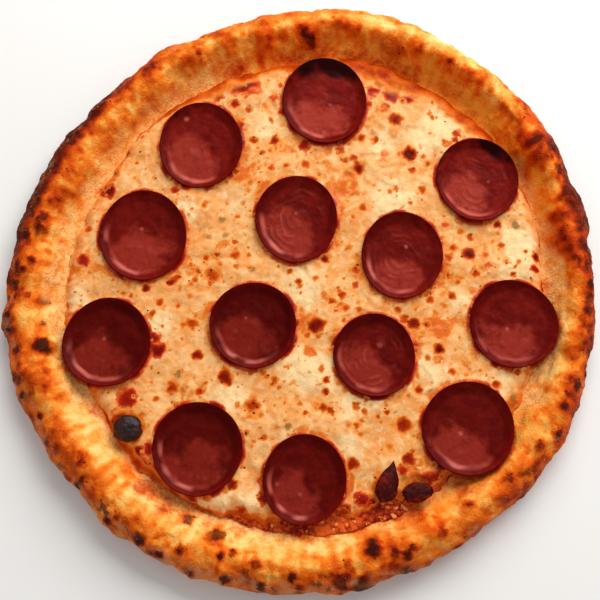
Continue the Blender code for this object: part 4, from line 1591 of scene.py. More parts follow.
    def char(self, skin: Skin, spots: Array) -> Array:
        """Return where the crust is charred.

        Args:
            skin: the crust's points.
            spots: the mask of the dark spots.

        Returns:
            A mask from 0 to 1.
        """
        form = self.form
        ring = (form.mean_radius - 8.5 * MM, form.mean_radius + 0.5 * MM)
        burns = scattered_places(self.edge_burns, ring, (0.6 * MM, 2.6 * MM), (0.5, 1.0), form, 9)
        edge = self.blots(skin, burns, 0.5, 0.8) * smooth(-0.25, 0.15, skin.relief(14.0 * MM, 11.0))
        edge = edge * (1.0 - 0.75 * bump(skin.azimuth, 84.0, 70.0))
        edge = 0.9 * edge * smooth(2.0 * MM, 6.0 * MM, skin.height)
        return np.maximum(smooth(0.35, 1.0, spots) * 0.85 * skin.top_side, edge)

    def flour(self, skin: Skin) -> Array:
        """Return where flour clings to the crust.

        Args:
            skin: the crust's points.

        Returns:
            A mask, mostly from 0 to 1.
        """
        lower = (1.0 - smooth(0.10, 0.34, skin.inward)) * skin.airy
        away_side = 0.42 + 0.3 * bump(skin.azimuth, -110.0, 100.0)
        return lower * away_side * (0.9 + 0.9 * skin.relief(5.0 * MM, 14.0)) + 0.35 * skin.under

    def oil(self, skin: Skin) -> Array:
        """Return where orange oil has soaked the rim's inner slope.

        Args:
            skin: the crust's points.

        Returns:
            A mask, mostly from 0 to 1.
        """
        oil = smooth(0.50, 0.95, skin.inward) * (0.62 + 0.6 * skin.relief(10.0 * MM, 17.0))
        return oil * (1.0 - smooth(0.0, 0.5, bump(skin.azimuth, 52.0, 90.0))) * skin.airy

    def red(self, skin: Skin) -> Array:
        """Return where sauce has stained the crust.

        Args:
            skin: the crust's points.

        Returns:
            A mask from 0 to 1.
        """
        xs, ys = skin.points[:, 0], skin.points[:, 1]
        red = 0.62 * self.painter.mask(xs, ys, self.features.red_stains, 0.8, 0.5) * skin.top_side
        red = np.maximum(red, 0.70 * self.layout.halo(xs, ys, 1.0, 1.14))
        foot = smooth(0.66, 0.98, skin.inward + 0.2 * skin.relief(8.0 * MM, 81.0))
        red = np.maximum(red, strongest(skin.azimuth, self.reddened_foot, 0.7) * foot)
        drips = relief(flat_points(skin.azimuth * 0.5 * MM, skin.turned * 0.25), 4.0 * MM, 51.0)
        slope = bump(skin.azimuth, 72.0, 56.0) * smooth(0.34, 0.7, skin.inward)
        return np.maximum(red, slope * (0.14 + 0.40 * smooth(0.0, 0.35, drips))) * skin.airy

    def masks(self, skin: Skin) -> dict[str, Array]:
        """Return the finish's masks.

        Args:
            skin: the crust's points.

        Returns:
            Masks by attribute name.
        """
        spots = self.blots(skin, self.painter.places(self.features.rim_spots), 0.5, 0.5)
        char, flour = unit(self.char(skin, spots)), unit(self.flour(skin))
        amber = smooth(0.38, 0.62, skin.inward + 0.14 * skin.relief(12.0 * MM, 91.0)) * skin.airy
        smeared = smooth(0.56, 0.92, skin.inward + 0.22 * skin.relief(9.0 * MM, 71.0)) * skin.airy
        masks = {
            "toast": self.toast(skin, spots), "char": char, "flour": flour, "oil": self.oil(skin),
            "red": self.red(skin), "smeared": strongest(skin.azimuth, self.smeared_foot, 0.6) * smeared,
            "flecked": char * skin.airy, "dusted": flour * skin.airy, "under": skin.under,
            "amber": strongest(skin.azimuth, self.amber_slopes, 0.6) * amber,
        }
        return {name: unit(mask) for name, mask in masks.items()}

    def build(self, material: bpy.types.Material) -> bpy.types.Object:
        """Build the crust's mesh with its masks.

        Args:
            material: the crust's finish.

        Returns:
            The crust's object.
        """
        form = self.form
        section = self.section()
        turned, height, azimuth = turned_grid(section, self.steps)
        outward = self.normals(section)
        rings = np.repeat(outward[1:-1], self.steps, axis=0)
        outward = np.concatenate([rings, np.array([[0.0, 1.0], [0.0, -1.0]])])
        risen = form.rim_rise(height, turned, azimuth)
        points = form.placed(form.shaped(turned, azimuth), azimuth, risen)
        lumps = self.crags(points, turned, height)
        total = lumps + self.wrinkles(points, turned, height)
        angle = np.radians(azimuth)
        points[:, 0] += total * outward[:, 0] * np.cos(angle)
        points[:, 1] += total * outward[:, 0] * np.sin(angle)
        points[:, 2] = np.maximum(points[:, 2] + total * outward[:, 1], 0.0)
        points[:, 2] -= self.calm_share * np.maximum(points[:, 2] - self.calm_height, 0.0)
        below = (turned < form.turned_crest) & (height >= form.dish_height)
        points[below] = self.layout.press_down(points[below], self.gap_below_slices)
        inward = (form.mean_radius - turned) / form.rim_width
        masks = self.masks(Skin(points, turned, height, azimuth, lumps, inward))
        faces = turned_faces(len(section) - 2, self.steps)
        return new_piece("baked_crust", points, faces, material, masks)


@dataclass
class Sauce:
    """The thin layer of sauce, seen where the cheese stops short of the rim."""

    form: PizzaForm
    layout: SliceLayout
    steps: int = 720
    reach: float = 3.6 * MM
    draw_in: float = 6.5 * MM
    half_width: float = 63.0
    edge_thickness: float = 0.6 * MM
    fade_from: float = 96.0 * MM
    relief_height: float = 0.5 * MM
    edge_unevenness: float = 1.0 * MM
    edge_round: float = 0.9 * MM
    inner_rings: int = 5
    edge_rings: int = 34
    gap_below_slices: float = 0.4 * MM
    shreds_at: float = -80.0
    shreds_half_width: float = 34.0

    def build(self, material: bpy.types.Material) -> bpy.types.Object:
        """Build the sauce's mesh.

        Args:
            material: the sauce's finish.

        Returns:
            The sauce's object.
        """
        form = self.form
        edge = form.turned_dish + self.reach
        under, over = form.layer_lift, form.layer_lift + form.sauce_thickness
        inner = np.linspace(0.0, self.fade_from, self.inner_rings)
        radii = np.concatenate([inner, np.linspace(self.fade_from + 2.0 * MM, edge, self.edge_rings)])
        top = over - (over - under - self.edge_thickness) * smooth(form.turned_dish, edge, radii)
        rounding = 0.5 * self.edge_thickness * smooth(edge - self.edge_round, edge, radii)
        rows = list(zip(radii, top - rounding)) + [(edge, under), (form.turned_dish, under), (0.0, under)]
        turned, lift, azimuth = turned_grid(np.array(rows), self.steps)
        depth = self.draw_in * (1.0 - bump(azimuth, form.bare_azimuth, self.half_width))
        angle = np.radians(azimuth)
        round_edge = flat_points(edge * np.cos(angle), edge * np.sin(angle))
        uneven = relief(round_edge, 8.0 * MM, 2.0) + 0.7 * relief(round_edge, 3.2 * MM, 4.0)
        depth = depth + self.edge_unevenness * (1.0 + 1.4 * uneven)
        turned = turned - depth * np.maximum(0.0, turned - self.fade_from) / (edge - self.fade_from)
        height = form.rim_rise(form.crust_height(turned), turned, azimuth) + lift
        points = form.placed(form.shaped(turned, azimuth), azimuth, height)
        upper = lift > under + 0.1 * MM
        points[upper, 2] += self.relief_height * relief(points[upper], 3.6 * MM, 1.3)
        points = self.layout.press_down(points, self.gap_below_slices)
        bare = bump(azimuth, self.shreds_at, self.shreds_half_width) * smooth(110.0 * MM, 116.0 * MM, turned)
        faces = turned_faces(len(rows) - 2, self.steps)
        return new_piece("cooked_sauce", points, faces, material, {"bare": np.where(upper, bare, 0.0)})


@dataclass
class Cheese:
    """The melted cheese: one sheet with soft relief, sunk under the slices."""

    form: PizzaForm
    layout: SliceLayout
    painter: Painter
    features: Features
    cells: int = 290
    reach: float = 1.2 * MM
    edge_waves: tuple = ((7, 0.0, 0.7 * MM), (12, 30.0, 0.5 * MM))
    bare_half_width: float = 42.0
    bare_depth: float = 5.5 * MM
    relief_height: float = 1.3 * MM
    relief_scale: float = 16.0 * MM
    taper: float = 7.0 * MM
    tuck: float = 0.25 * MM
    skirt: float = 0.3 * MM
    underside: float = 1.25 * MM
    lobe: float = 1.5 * MM
    overlap: float = 1.2 * MM
    drape: float = 3.6 * MM
    blotches: int = 520
    specks: int = 380
    strand_height: float = 0.55 * MM
    small_layers: tuple = ((0.30 * MM, 4.2 * MM, 6.0), (0.16 * MM, 1.9 * MM, 12.0))
    pit_depth: float = 0.35 * MM
    hug: float = 0.5 * MM
    gap_below_slices: float = 0.35 * MM
    underside_share: float = 0.93
    browned_edge_and_shade_sides: tuple = (  # azimuth, half width, how far in from the edge the cheese is browned; the wide band on the far side is also painted shade
        (74.0, 38.0, 17.0 * MM), (112.0, 34.0, 10.0 * MM), (44.0, 30.0, 11.0 * MM), (-45.0, 18.0, 6.0 * MM),
        (-92.0, 36.0, 4.0 * MM), (-132.0, 24.0, 5.0 * MM),
    )

    def edge_depth(self, azimuth: Array) -> Array:
        """Return how far the edge is drawn in.

        Args:
            azimuth: degrees.

        Returns:
            Metres.
        """
        uneven = sum(size for _, _, size in self.edge_waves) + waves(azimuth, self.edge_waves)
        angle, turned = np.radians(azimuth), self.form.turned_dish
        round_edge = flat_points(turned * np.cos(angle), turned * np.sin(angle))
        lobes = self.lobe * (relief(round_edge, 7.0 * MM, 3.0) + 0.5 * relief(round_edge, 3.0 * MM, 5.0))
        bare = bump(azimuth, self.form.bare_azimuth, self.bare_half_width)
        return uneven - self.overlap * (1.0 - bare) + self.bare_depth * bare + lobes * (1.0 + 2.4 * bare)

    def disc(self) -> tuple[Array, Array, list[tuple[int, ...]]]:
        """Return a unit disc of even four-sided cells.

        Returns:
            The shares of the radius, the azimuths, and the faces, seen anticlockwise from above.
        """
        side = self.cells + 1
        line = np.linspace(-1.0, 1.0, side)
        across, along = np.meshgrid(line, line)
        xs = across * np.sqrt(1.0 - along * along / 2.0)
        ys = along * np.sqrt(1.0 - across * across / 2.0)
        faces = []
        for row in range(self.cells):
            for column in range(self.cells):
                corner = row * side + column
                faces.append((corner, corner + 1, corner + side + 1, corner + side))
        return np.hypot(xs, ys).ravel(), np.degrees(np.arctan2(ys, xs)).ravel(), faces

    def heights(self, xs: Array, ys: Array, share: Array, edge: Array) -> Array:
        """Return the height of the cheese's upper face.

        Args:
            xs: the points' X coordinates.
            ys: the points' Y coordinates.
            share: how far out each point is, from 0 to 1 at the edge.
            edge: the edge's distance from the hub at each point.

        Returns:
            Heights in the frame.
        """
        form = self.form
        inside = edge * (1.0 - share)
        _, azimuth = form.polar(xs, ys)
        over_sauce = smooth(0.0, 0.25, bump(azimuth, form.bare_azimuth, 1.5 * self.bare_half_width))
        raised = over_sauce + (1.0 - over_sauce) * smooth(0.0, self.drape, inside)
        bed = form.bed_height(xs, ys) + form.cheese_under * raised
        body = np.sin(np.pi / 2.0 * np.clip(inside / self.taper, 0.0, 1.0)) ** 1.8
        points = flat_points(xs, ys)
        lumps = self.relief_height * relief(points, self.relief_scale)
        strands = self.strand_height * self.strands(points)
        small = layered(points, self.small_layers)
        pits = -self.pit_depth * smooth(0.28, 0.5, relief(points, 5.0 * MM, 15.0))
        hug = self.hug * self.layout.halo(xs, ys, 0.98, 1.12)
        top = form.cheese_thickness + lumps + strands + small + pits + hug
        return bed - self.tuck + body * (top + self.tuck)

    def strands(self, points: Array) -> Array:
        """Return where the melted shreds stand out.

        Args:
            points: one row of three coordinates a point.

        Returns:
            A mask from 0 to 1.
        """
        wide = ridged(points, 9.0 * MM, 4.0) * smooth(-0.2, 0.3, relief(points, 30.0 * MM, 9.0))
        thin = ridged(points, 5.0 * MM, 34.0) * smooth(-0.1, 0.3, relief(points, 21.0 * MM, 39.0))
        return np.maximum(wide, 0.7 * thin)

    def blotch_places(self) -> list[tuple[float, float, float, float]]:
        """Return random baked blotches, in clusters.

        Returns:
            Their places, radii and strengths.
        """
        everywhere = scattered_places(
            self.blotches, (0.0, self.form.turned_dish), (0.7 * MM, 2.7 * MM), (0.35, 0.9), self.form, 21
        )
        places = np.array([[x, y, 0.0] for x, y, _, _ in everywhere])
        kept = relief(places, 24.0 * MM, 44.0) > -0.12
        return [place for place, keep in zip(everywhere, kept.tolist()) if keep]

    def brown(self, xs: Array, ys: Array, blotches: Spots) -> Array:
        """Return where the cheese is browned in spots.

        Args:
            xs: the points' X coordinates.
            ys: the points' Y coordinates.
            blotches: random baked blotches.

        Returns:
            A mask from 0 to 1.
        """
        form, of_places = self.form, self.painter.mask_of_places
        specks = scattered_places(
            self.specks, (0.0, form.turned_dish), (0.5 * MM, 1.7 * MM), (0.3, 0.75), form, 3
        )
        cores = [(x, y, 0.55 * radius, 0.8 * strength) for x, y, radius, strength in blotches[::2]]
        brown = self.painter.mask(xs, ys, self.features.browned, 0.7, 0.5)
        brown = np.maximum(brown, 0.8 * of_places(xs, ys, specks, 0.7, 0.6))
        return np.maximum(brown, of_places(xs, ys, cores, 0.8, 0.7))

    def oil(self, flat: Array, blotches: Spots, inside: Array, strands: Array) -> Array:
        """Return where orange oil stains the cheese.

        Args:
            flat: the points, laid flat.
            blotches: random baked blotches.
            inside: each point's distance from the edge.
            strands: the mask of the shreds.

        Returns:
            A mask, mostly from 0 to 1.
        """
        xs, ys = flat[:, 0], flat[:, 1]
        mask = self.painter.mask
        rings = [(x, y, 1.5 * radius, strength) for x, y, radius, strength in blotches]
        baked = self.painter.mask_of_places(xs, ys, rings, 0.9, 0.8)
        wide = mask(xs, ys, self.features.browned, 1.3, 0.3)
        halo = self.layout.halo(xs, ys, 1.0, 1.28)
        blots = smooth(0.02, 0.45, relief(flat, 13.0 * MM, 18.0) + 0.5 * relief(flat, 5.0 * MM, 19.0))
        oil = 0.75 * mask(xs, ys, self.features.orange_stains, 1.1, 0.6) + 0.34 * wide
        oil = oil + 0.42 * halo + 0.28 * blots + 0.30 * (1.0 - smooth(1.0 * MM, 8.0 * MM, inside))
        return np.maximum(oil, 0.7 * baked) - 0.22 * strands

    def browned_edge_and_shade(self, flat: Array, azimuth: Array, inside: Array) -> Array:
        """Return where the cheese is browned along its edge, the wide band on the far side being partly
        painted shade.

        Args:
            flat: the points, laid flat.
            azimuth: degrees.
            inside: each point's distance from the edge.

        Returns:
            A mask, mostly from 0 to 1.
        """
        browned_edge_and_shade = np.zeros(len(flat))
        for middle, half_width, depth in self.browned_edge_and_shade_sides:
            reach = np.maximum(depth * bump(azimuth, middle, half_width), 0.1 * MM)
            browned_edge_and_shade = np.maximum(browned_edge_and_shade, 1.0 - smooth(0.4, 1.25, inside / reach))
        return browned_edge_and_shade * (0.85 + 0.5 * relief(flat, 8.0 * MM, 27.0))

    def red(self, flat: Array, azimuth: Array, inside: Array) -> Array:
        """Return where red oil and sauce stain the cheese.

        Args:
            flat: the points, laid flat.
            azimuth: degrees.
            inside: each point's distance from the edge.

        Returns:
            A mask, mostly from 0 to 1.
        """
        xs, ys = flat[:, 0], flat[:, 1]
        red = self.painter.mask(xs, ys, self.features.red_stains, 0.75, 0.55)
        close = self.layout.halo(xs, ys, 1.0, 1.13)
        red = np.maximum(red, close * (0.50 + 1.2 * relief(flat, 9.0 * MM, 23.0)))
        drips = relief(flat_points(np.radians(azimuth) * 0.11, inside * 0.3), 4.0 * MM, 51.0)
        drips = 0.54 * smooth(-0.05, 0.35, drips) * bump(azimuth, 66.0, 44.0)
        return np.maximum(red, drips * (1.0 - smooth(4.0 * MM, 17.0 * MM, inside)))

    def masks(self, points: Array, inside: Array) -> dict[str, Array]:
        """Return the finish's masks at each point.

        Args:
            points: one row of three coordinates a point.
            inside: each point's distance from the edge.

        Returns:
            Masks by attribute name.
        """
        xs, ys = points[:, 0], points[:, 1]
        mask = self.painter.mask
        flat = flat_points(xs, ys)
        _, azimuth = self.form.polar(xs, ys)
        strands = self.strands(flat)
        blotches = self.blotch_places()
        brown = unit(self.brown(xs, ys, blotches))
        pale = mask(xs, ys, self.features.pale_pools, 0.9, 0.5) + 0.4 * strands
        oil = unit(self.oil(flat, blotches, inside, strands) * (1.0 - 0.6 * pale))
        open_air = 1.0 - self.layout.halo(xs, ys, 1.04, 1.09)
        masks = {
            "brown": brown, "oil": oil, "red": self.red(flat, azimuth, inside), "pale": pale,
            "green": mask(xs, ys, self.features.green_specks, 0.7, 0.5),
            "browned_edge_and_shade": self.browned_edge_and_shade(flat, azimuth, inside),
            "beaded": oil * open_air, "crumbed": brown * open_air,
        }
        return {name: unit(values) for name, values in masks.items()}

    def edge_points(self) -> list[int]:
        """Find the disc's outermost points.

        Returns:
            Their numbers, anticlockwise from above.
        """
        side, last = self.cells + 1, (self.cells + 1) ** 2 - 1
        lower, right = range(self.cells), range(self.cells, last, side)
        upper, left = range(last, last - self.cells, -1), range(last - self.cells, 0, -side)
        return [*lower, *right, *upper, *left]

    def closed(self, top: Array, faces: list, masks: dict) -> tuple[Array, list, dict]:
        """Close the sheet with a short skirt and a flat underside.

        Args:
            top: the sheet's points.
            faces: its faces.
            masks: its masks.

        Returns:
            The points, faces and masks of the closed body.
        """
        edge = self.edge_points()
        count, first = len(edge), len(top)
        hub = np.array([*self.form.hub, 0.0])
        skirt = top[edge] - np.array([0.0, 0.0, self.skirt])
        floor = hub + (top[edge] - hub) * self.underside_share
        floor[:, 2] = self.form.dish_height + self.underside
        rings = [edge, list(range(first, first + count)), list(range(first + count, first + 2 * count))]
        closed = list(faces)
        for upper, lower in zip(rings, rings[1:]):
            for step in range(count):
                after = (step + 1) % count
                closed.append((lower[step], lower[after], upper[after], upper[step]))
        closed.append(tuple(reversed(rings[-1])))
        spread = {name: np.concatenate([mask, mask[edge], mask[edge]]) for name, mask in masks.items()}
        return np.concatenate([top, skirt, floor]), closed, spread

    def build(self, material: bpy.types.Material) -> bpy.types.Object:
        """Build the cheese's mesh with its masks.

        Args:
            material: the cheese's finish.

        Returns:
            The cheese's object.
        """
        form = self.form
        share, azimuth, faces = self.disc()
        edge = form.shaped(form.turned_dish + self.reach - self.edge_depth(azimuth), azimuth)
        top = form.placed(share * edge, azimuth, 0.0)
        top[:, 2] = self.heights(top[:, 0], top[:, 1], share, edge)
        top = self.layout.press_down(top, self.gap_below_slices)
        inside = edge * (1.0 - share)
        least = form.bed_height(top[:, 0], top[:, 1]) - self.tuck
        least = least + form.cheese_under * smooth(0.0, self.drape, inside)
        top[:, 2] = np.maximum(top[:, 2], least)
        points, faces, masks = self.closed(top, faces, self.masks(top, inside))
        return new_piece("melted_cheese", points, faces, material, masks)


@dataclass
class Pepperoni:
    """The slices: cups with a soft dished floor, a crisp lip and fine concentric ridges."""

    form: PizzaForm
    layout: SliceLayout
    painter: Painter
    steps: int = 168
    floor_rings: int = 34
    wall_rings: int = 16
    outer_rings: int = 14
    floor_edge: float = 0.74  # shares of the radius: where the wall starts, and where it ends
    wall_edge: float = 0.965
    lip_rows: tuple = (  # share of the radius, and how far it lies below the tip
        (0.976, 0.02 * MM), (0.984, 0.03 * MM), (0.992, 0.14 * MM), (0.998, 0.36 * MM),
    )
    bowl_height: float = 0.4 * MM
    ring_count: float = 5.6
    ridge_depth: float = 0.09 * MM
    faint_depth: float = 0.02 * MM
    crinkle_layers: tuple = ((0.30 * MM, 4.5 * MM), (0.12 * MM, 1.8 * MM))  # height, size of a lump
    dusk: tuple = (0.25, 0.0, 0.1, 0.4, 0.4, 0.35, 0.9, 1.0, 0.35, 0.6, 0.9, 0.7, 0.6)
    burnt_edges: tuple = (  # slice, azimuth, half width, the share of the radius where it starts
        (2, 84.0, 80.0, 0.44), (3, 58.0, 48.0, 0.60), (1, 118.0, 30.0, 0.70), (8, 150.0, 26.0, 0.86),
        (11, 160.0, 24.0, 0.86), (10, 140.0, 24.0, 0.9),
    )
    ridged_slices: tuple = (2, 3, 5, 6, 10)
    painted_glints: tuple = (  # painted highlight dots: pixel x, pixel y, radius in mm, strength
        (187, 120, 1.0, 1.0), (142, 229, 0.8, 0.8), (406, 247, 0.8, 0.8), (104, 339, 0.8, 0.8),
        (507, 329, 0.8, 0.9), (380, 345, 1.3, 0.55), (461, 434, 0.9, 0.9), (277, 485, 0.8, 0.6),
        (300, 495, 0.8, 0.6), (358, 73, 1.0, 0.8), (330, 106, 0.7, 0.5), (488, 182, 0.7, 0.6),
        (246, 318, 0.7, 0.5), (296, 214, 0.8, 0.5), (508, 148, 1.2, 0.9),
    )

    def section(self) -> Array:
        """Return a slice's section, inside first.

        Returns:
            Rows of shares of the radius and heights.
        """
        layout = self.layout
        tip = layout.cup_height
        shares = [*np.linspace(0.0, self.floor_edge, self.floor_rings + 1)[1:]]
        shares += [*np.linspace(self.floor_edge, self.wall_edge, self.wall_rings + 1)[1:]]
        rows = [(0.0, layout.thickness)] + [(share, self.inner_height(share)) for share in shares]
        rows += [(share, tip - drop) for share, drop in self.lip_rows]
        rows.append((1.0, tip - layout.outer_drop))
        outer = np.linspace(1.0, layout.floor_share, self.outer_rings + 1)[1:]
        rows += [(share, float(layout.under_height(share))) for share in outer]
        rows += [(0.4, 0.0), (0.0, 0.0)]
        return np.array(rows)

    def inner_height(self, share: float) -> float:
        """Return the height of the inside of a cup.

        Args:
            share: how far out, as a share of the slice's radius.

        Returns:
            The height in the slice's own frame.
        """
        layout = self.layout
        bowl = layout.thickness + self.bowl_height * share * share
        rise = layout.cup_height - 0.12 * MM - layout.thickness - self.bowl_height
        return bowl + rise * float(smooth(self.floor_edge, self.wall_edge + 0.01, share))

    def rings(self, item: Slice, share: Array, xs: Array, ys: Array) -> Array:
        """Return faint concentric ridges on a slice's floor.

        Args:
            item: the slice.
            share: each point's share of the radius.
            xs: the points' X coordinates in the slice's own frame.
            ys: their Y coordinates.

        Returns:
            Numbers from -1 to 1.
        """
        flat = flat_points(xs, ys)
        shift = 3.7 * item.number
        warped = share + 0.16 * relief(flat, 10.0 * MM, shift + 5.0)
        warped = warped + 0.05 * relief(flat, 4.0 * MM, shift + 6.0)
        faded = smooth(0.12, 0.25, share) * (1.0 - smooth(0.70, 0.80, share))
        patches = smooth(-0.1, 0.3, relief(flat, 8.0 * MM, shift + 8.0))
        return np.cos(2.0 * np.pi * warped * self.ring_count) * faded * patches

    def shape(self, item: Slice, share: Array, height: Array, azimuth: Array, inside: Array) -> Array:
        """Return a slice's points in its own frame, uneven and with fine relief.

        Args:
            item: the slice.
            share: each point's share of the radius.
            height: its height on the plain cup.
            azimuth: its azimuth on the slice.
            inside: whether it is on the cup's inside.

        Returns:
            One row of three coordinates a point.
        """
        layout = self.layout
        around = 1.0 + sum(layout.wave(azimuth, item.number, term) for term in layout.edge_waves)
        angle = np.radians(azimuth)
        xs = share * around * item.width / 2.0 * np.cos(angle)
        ys = share * around * item.length / 2.0 * np.sin(angle)
        lipward = smooth(0.72, 1.0, share) * smooth(0.25, 0.8, height / layout.cup_height)
        tall = height + lipward * layout.wave(azimuth, item.number, layout.lip_wave)
        points = np.stack([xs, ys, tall], axis=1)
        shift = 3.7 * item.number
        crinkle = layered(points, [(*layer, shift) for layer in self.crinkle_layers])
        crinkle += 0.22 * MM * smooth(0.8, 0.97, share) * relief(points, 2.6 * MM, shift + 2.0)
        points[:, 2] += crinkle * np.where(inside, 1.0, 0.25 * smooth(0.85, 1.0, share))
        depth = self.ridge_depth if item.number in self.ridged_slices else self.faint_depth
        points[:, 2] += np.where(inside, depth * self.rings(item, share, xs, ys), 0.0)
        sunk = -0.5 * MM * (1.0 - smooth(0.0, 0.35, share)) * math.sin(2.1 * item.number)
        points[:, 2] += np.where(inside, sunk, 0.0)
        return points

    def painted_lit_patch(self, item: Slice, flat: Array, share: Array, azimuth: Array) -> Array:
        """Return where a slice's floor is painted lighter, as lit: an uneven patch towards its lower edge.

        Args:
            item: the slice.
            flat: its points, laid flat.
            share: each point's share of the radius.
            azimuth: its azimuth on the slice.

        Returns:
            A mask from 0 to 1.
        """
        shift = 5.1 * item.number
        turn = np.radians(azimuth + 12.0 + 16.0 * math.sin(2.7 * item.number))
        along, across = share * np.sin(turn), share * np.cos(turn)
        wander = 0.24 * relief(flat, 12.0 * MM, shift) + 0.14 * relief(flat, 4.0 * MM, shift)
        level = 0.34 + 0.06 * math.sin(1.9 * item.number)
        away = np.hypot(0.86 * (across + 0.12), along + 0.48) + wander
        return (1.0 - smooth(level, level + 0.44, away)) * (1.0 - smooth(0.78, 0.92, share))

    def burnt(self, item: Slice, flat: Array, share: Array, azimuth: Array) -> Array:
        """Return where a slice's edge is burnt.

        Args:
            item: the slice.
            flat: its points, laid flat.
            share: each point's share of the radius.
            azimuth: its azimuth on the slice.

        Returns:
            A mask from 0 to 1.
        """
        burnt = np.zeros(len(flat))
        for number, middle, half_width, start in self.burnt_edges:
            if number == item.number:
                uneven = share + 0.26 * relief(flat, 7.0 * MM, 5.1 * number + 9.0)
                side = smooth(0.0, 0.55, bump(azimuth, middle, half_width))
                burnt = np.maximum(burnt, side * smooth(start, start + 0.42, uneven))
        return burnt

    def masks(
        self, item: Slice, points: Array, local: Array, share: Array, azimuth: Array, inside: Array
    ) -> dict:
        """Return the finish's masks for one slice.

        Args:
            item: the slice.
            points: its points in the frame.
            local: its points in its own frame.
            share: each point's share of the radius.
            azimuth: each point's azimuth on the slice.
            inside: whether the point is on the cup's inside.

        Returns:
            Masks by attribute name.
        """
        xs, ys = points[:, 0], points[:, 1]
        shift = 5.1 * item.number
        flat = flat_points(xs, ys)
        # painted light: the lit patch, at least 0.12 everywhere inside the cup
        painted_lit_patch = np.maximum(self.painted_lit_patch(item, flat, share, azimuth), 0.12)
        uneven = 0.05 * relief(flat, 5.0 * MM, shift + 4.0)
        arcs = unit(self.rings(item, share, local[:, 0], local[:, 1])) ** 2
        arcs = arcs * (0.9 if item.number in self.ridged_slices else 0.12)
        # painted highlight: a pale broken line on the inner wall towards the lower left, plus glint dots
        wavering = share + 0.6 * uneven
        arc = smooth(0.0, 0.75, bump(azimuth, -126.0 + 14.0 * math.sin(item.number), 88.0))
        line = smooth(0.76, 0.83, wavering) * (1.0 - smooth(0.85, 0.92, wavering))
        glow = 0.14 * smooth(0.80, 0.85, share) * (1.0 - smooth(0.86, 0.92, share))
        broken = np.clip(0.42 + 1.4 * relief(flat, 7.0 * MM, shift + 1.0), 0.0, 0.85)
        painted_highlight = np.where(inside, arc * np.maximum(line, glow) * broken, 0.0)
        lip = smooth(0.86, 0.96, share + uneven) * np.where(inside, 1.0, 0.9) * (1.0 - 0.85 * unit(painted_highlight))
        painted_glints = 0.75 * self.painter.mask(xs, ys, self.painted_glints, 0.85, 0.2)
        masks = {
            "painted_lit_patch": np.where(inside, painted_lit_patch, 0.0), "lip": lip,
            "painted_highlight": np.maximum(painted_highlight, np.where(inside, painted_glints, 0.0)),
            "burnt": self.burnt(item, flat, share, azimuth),
            # painted light: the lip is lighter on the slice's lower side, where its inner wall faces the
            # light
            "painted_lit_lip": unit(0.08 + 0.95 * bump(azimuth, -80.0, 125.0)) * np.where(inside, 1.0, 0.4),
            "arcs": np.where(inside, arcs, 0.0),
            "shade": np.where(inside, 0.5 * arc * smooth(0.82, 0.88, share), 0.0),
            "dusk": np.full(len(xs), self.dusk[item.number - 1]),
        }
        return {name: unit(mask) for name, mask in masks.items()}

    def build_slice(self, item: Slice, material: bpy.types.Material) -> bpy.types.Object:
        """Build one slice.

        Args:
            item: the slice.
            material: the slices' finish.

        Returns:
            The slice's object.
        """
        section = self.section()
        share, height, azimuth = turned_grid(section, self.steps)
        top_rings = self.floor_rings + self.wall_rings + len(self.lip_rows)
        inside_row = np.arange(len(section)) < top_rings
        inside = np.concatenate([np.repeat(inside_row[1:-1], self.steps), [True, False]])
        local = self.shape(item, share, height, azimuth, inside)
        place = np.array(self.layout.placement(item))
        points = local @ place[:3, :3].T + place[:3, 3]
        masks = self.masks(item, points, local, share, azimuth, inside)
        faces = turned_faces(len(section) - 2, self.steps)
        return new_piece(f"pepperoni_slice_{item.number:02d}", points, faces, material, masks)


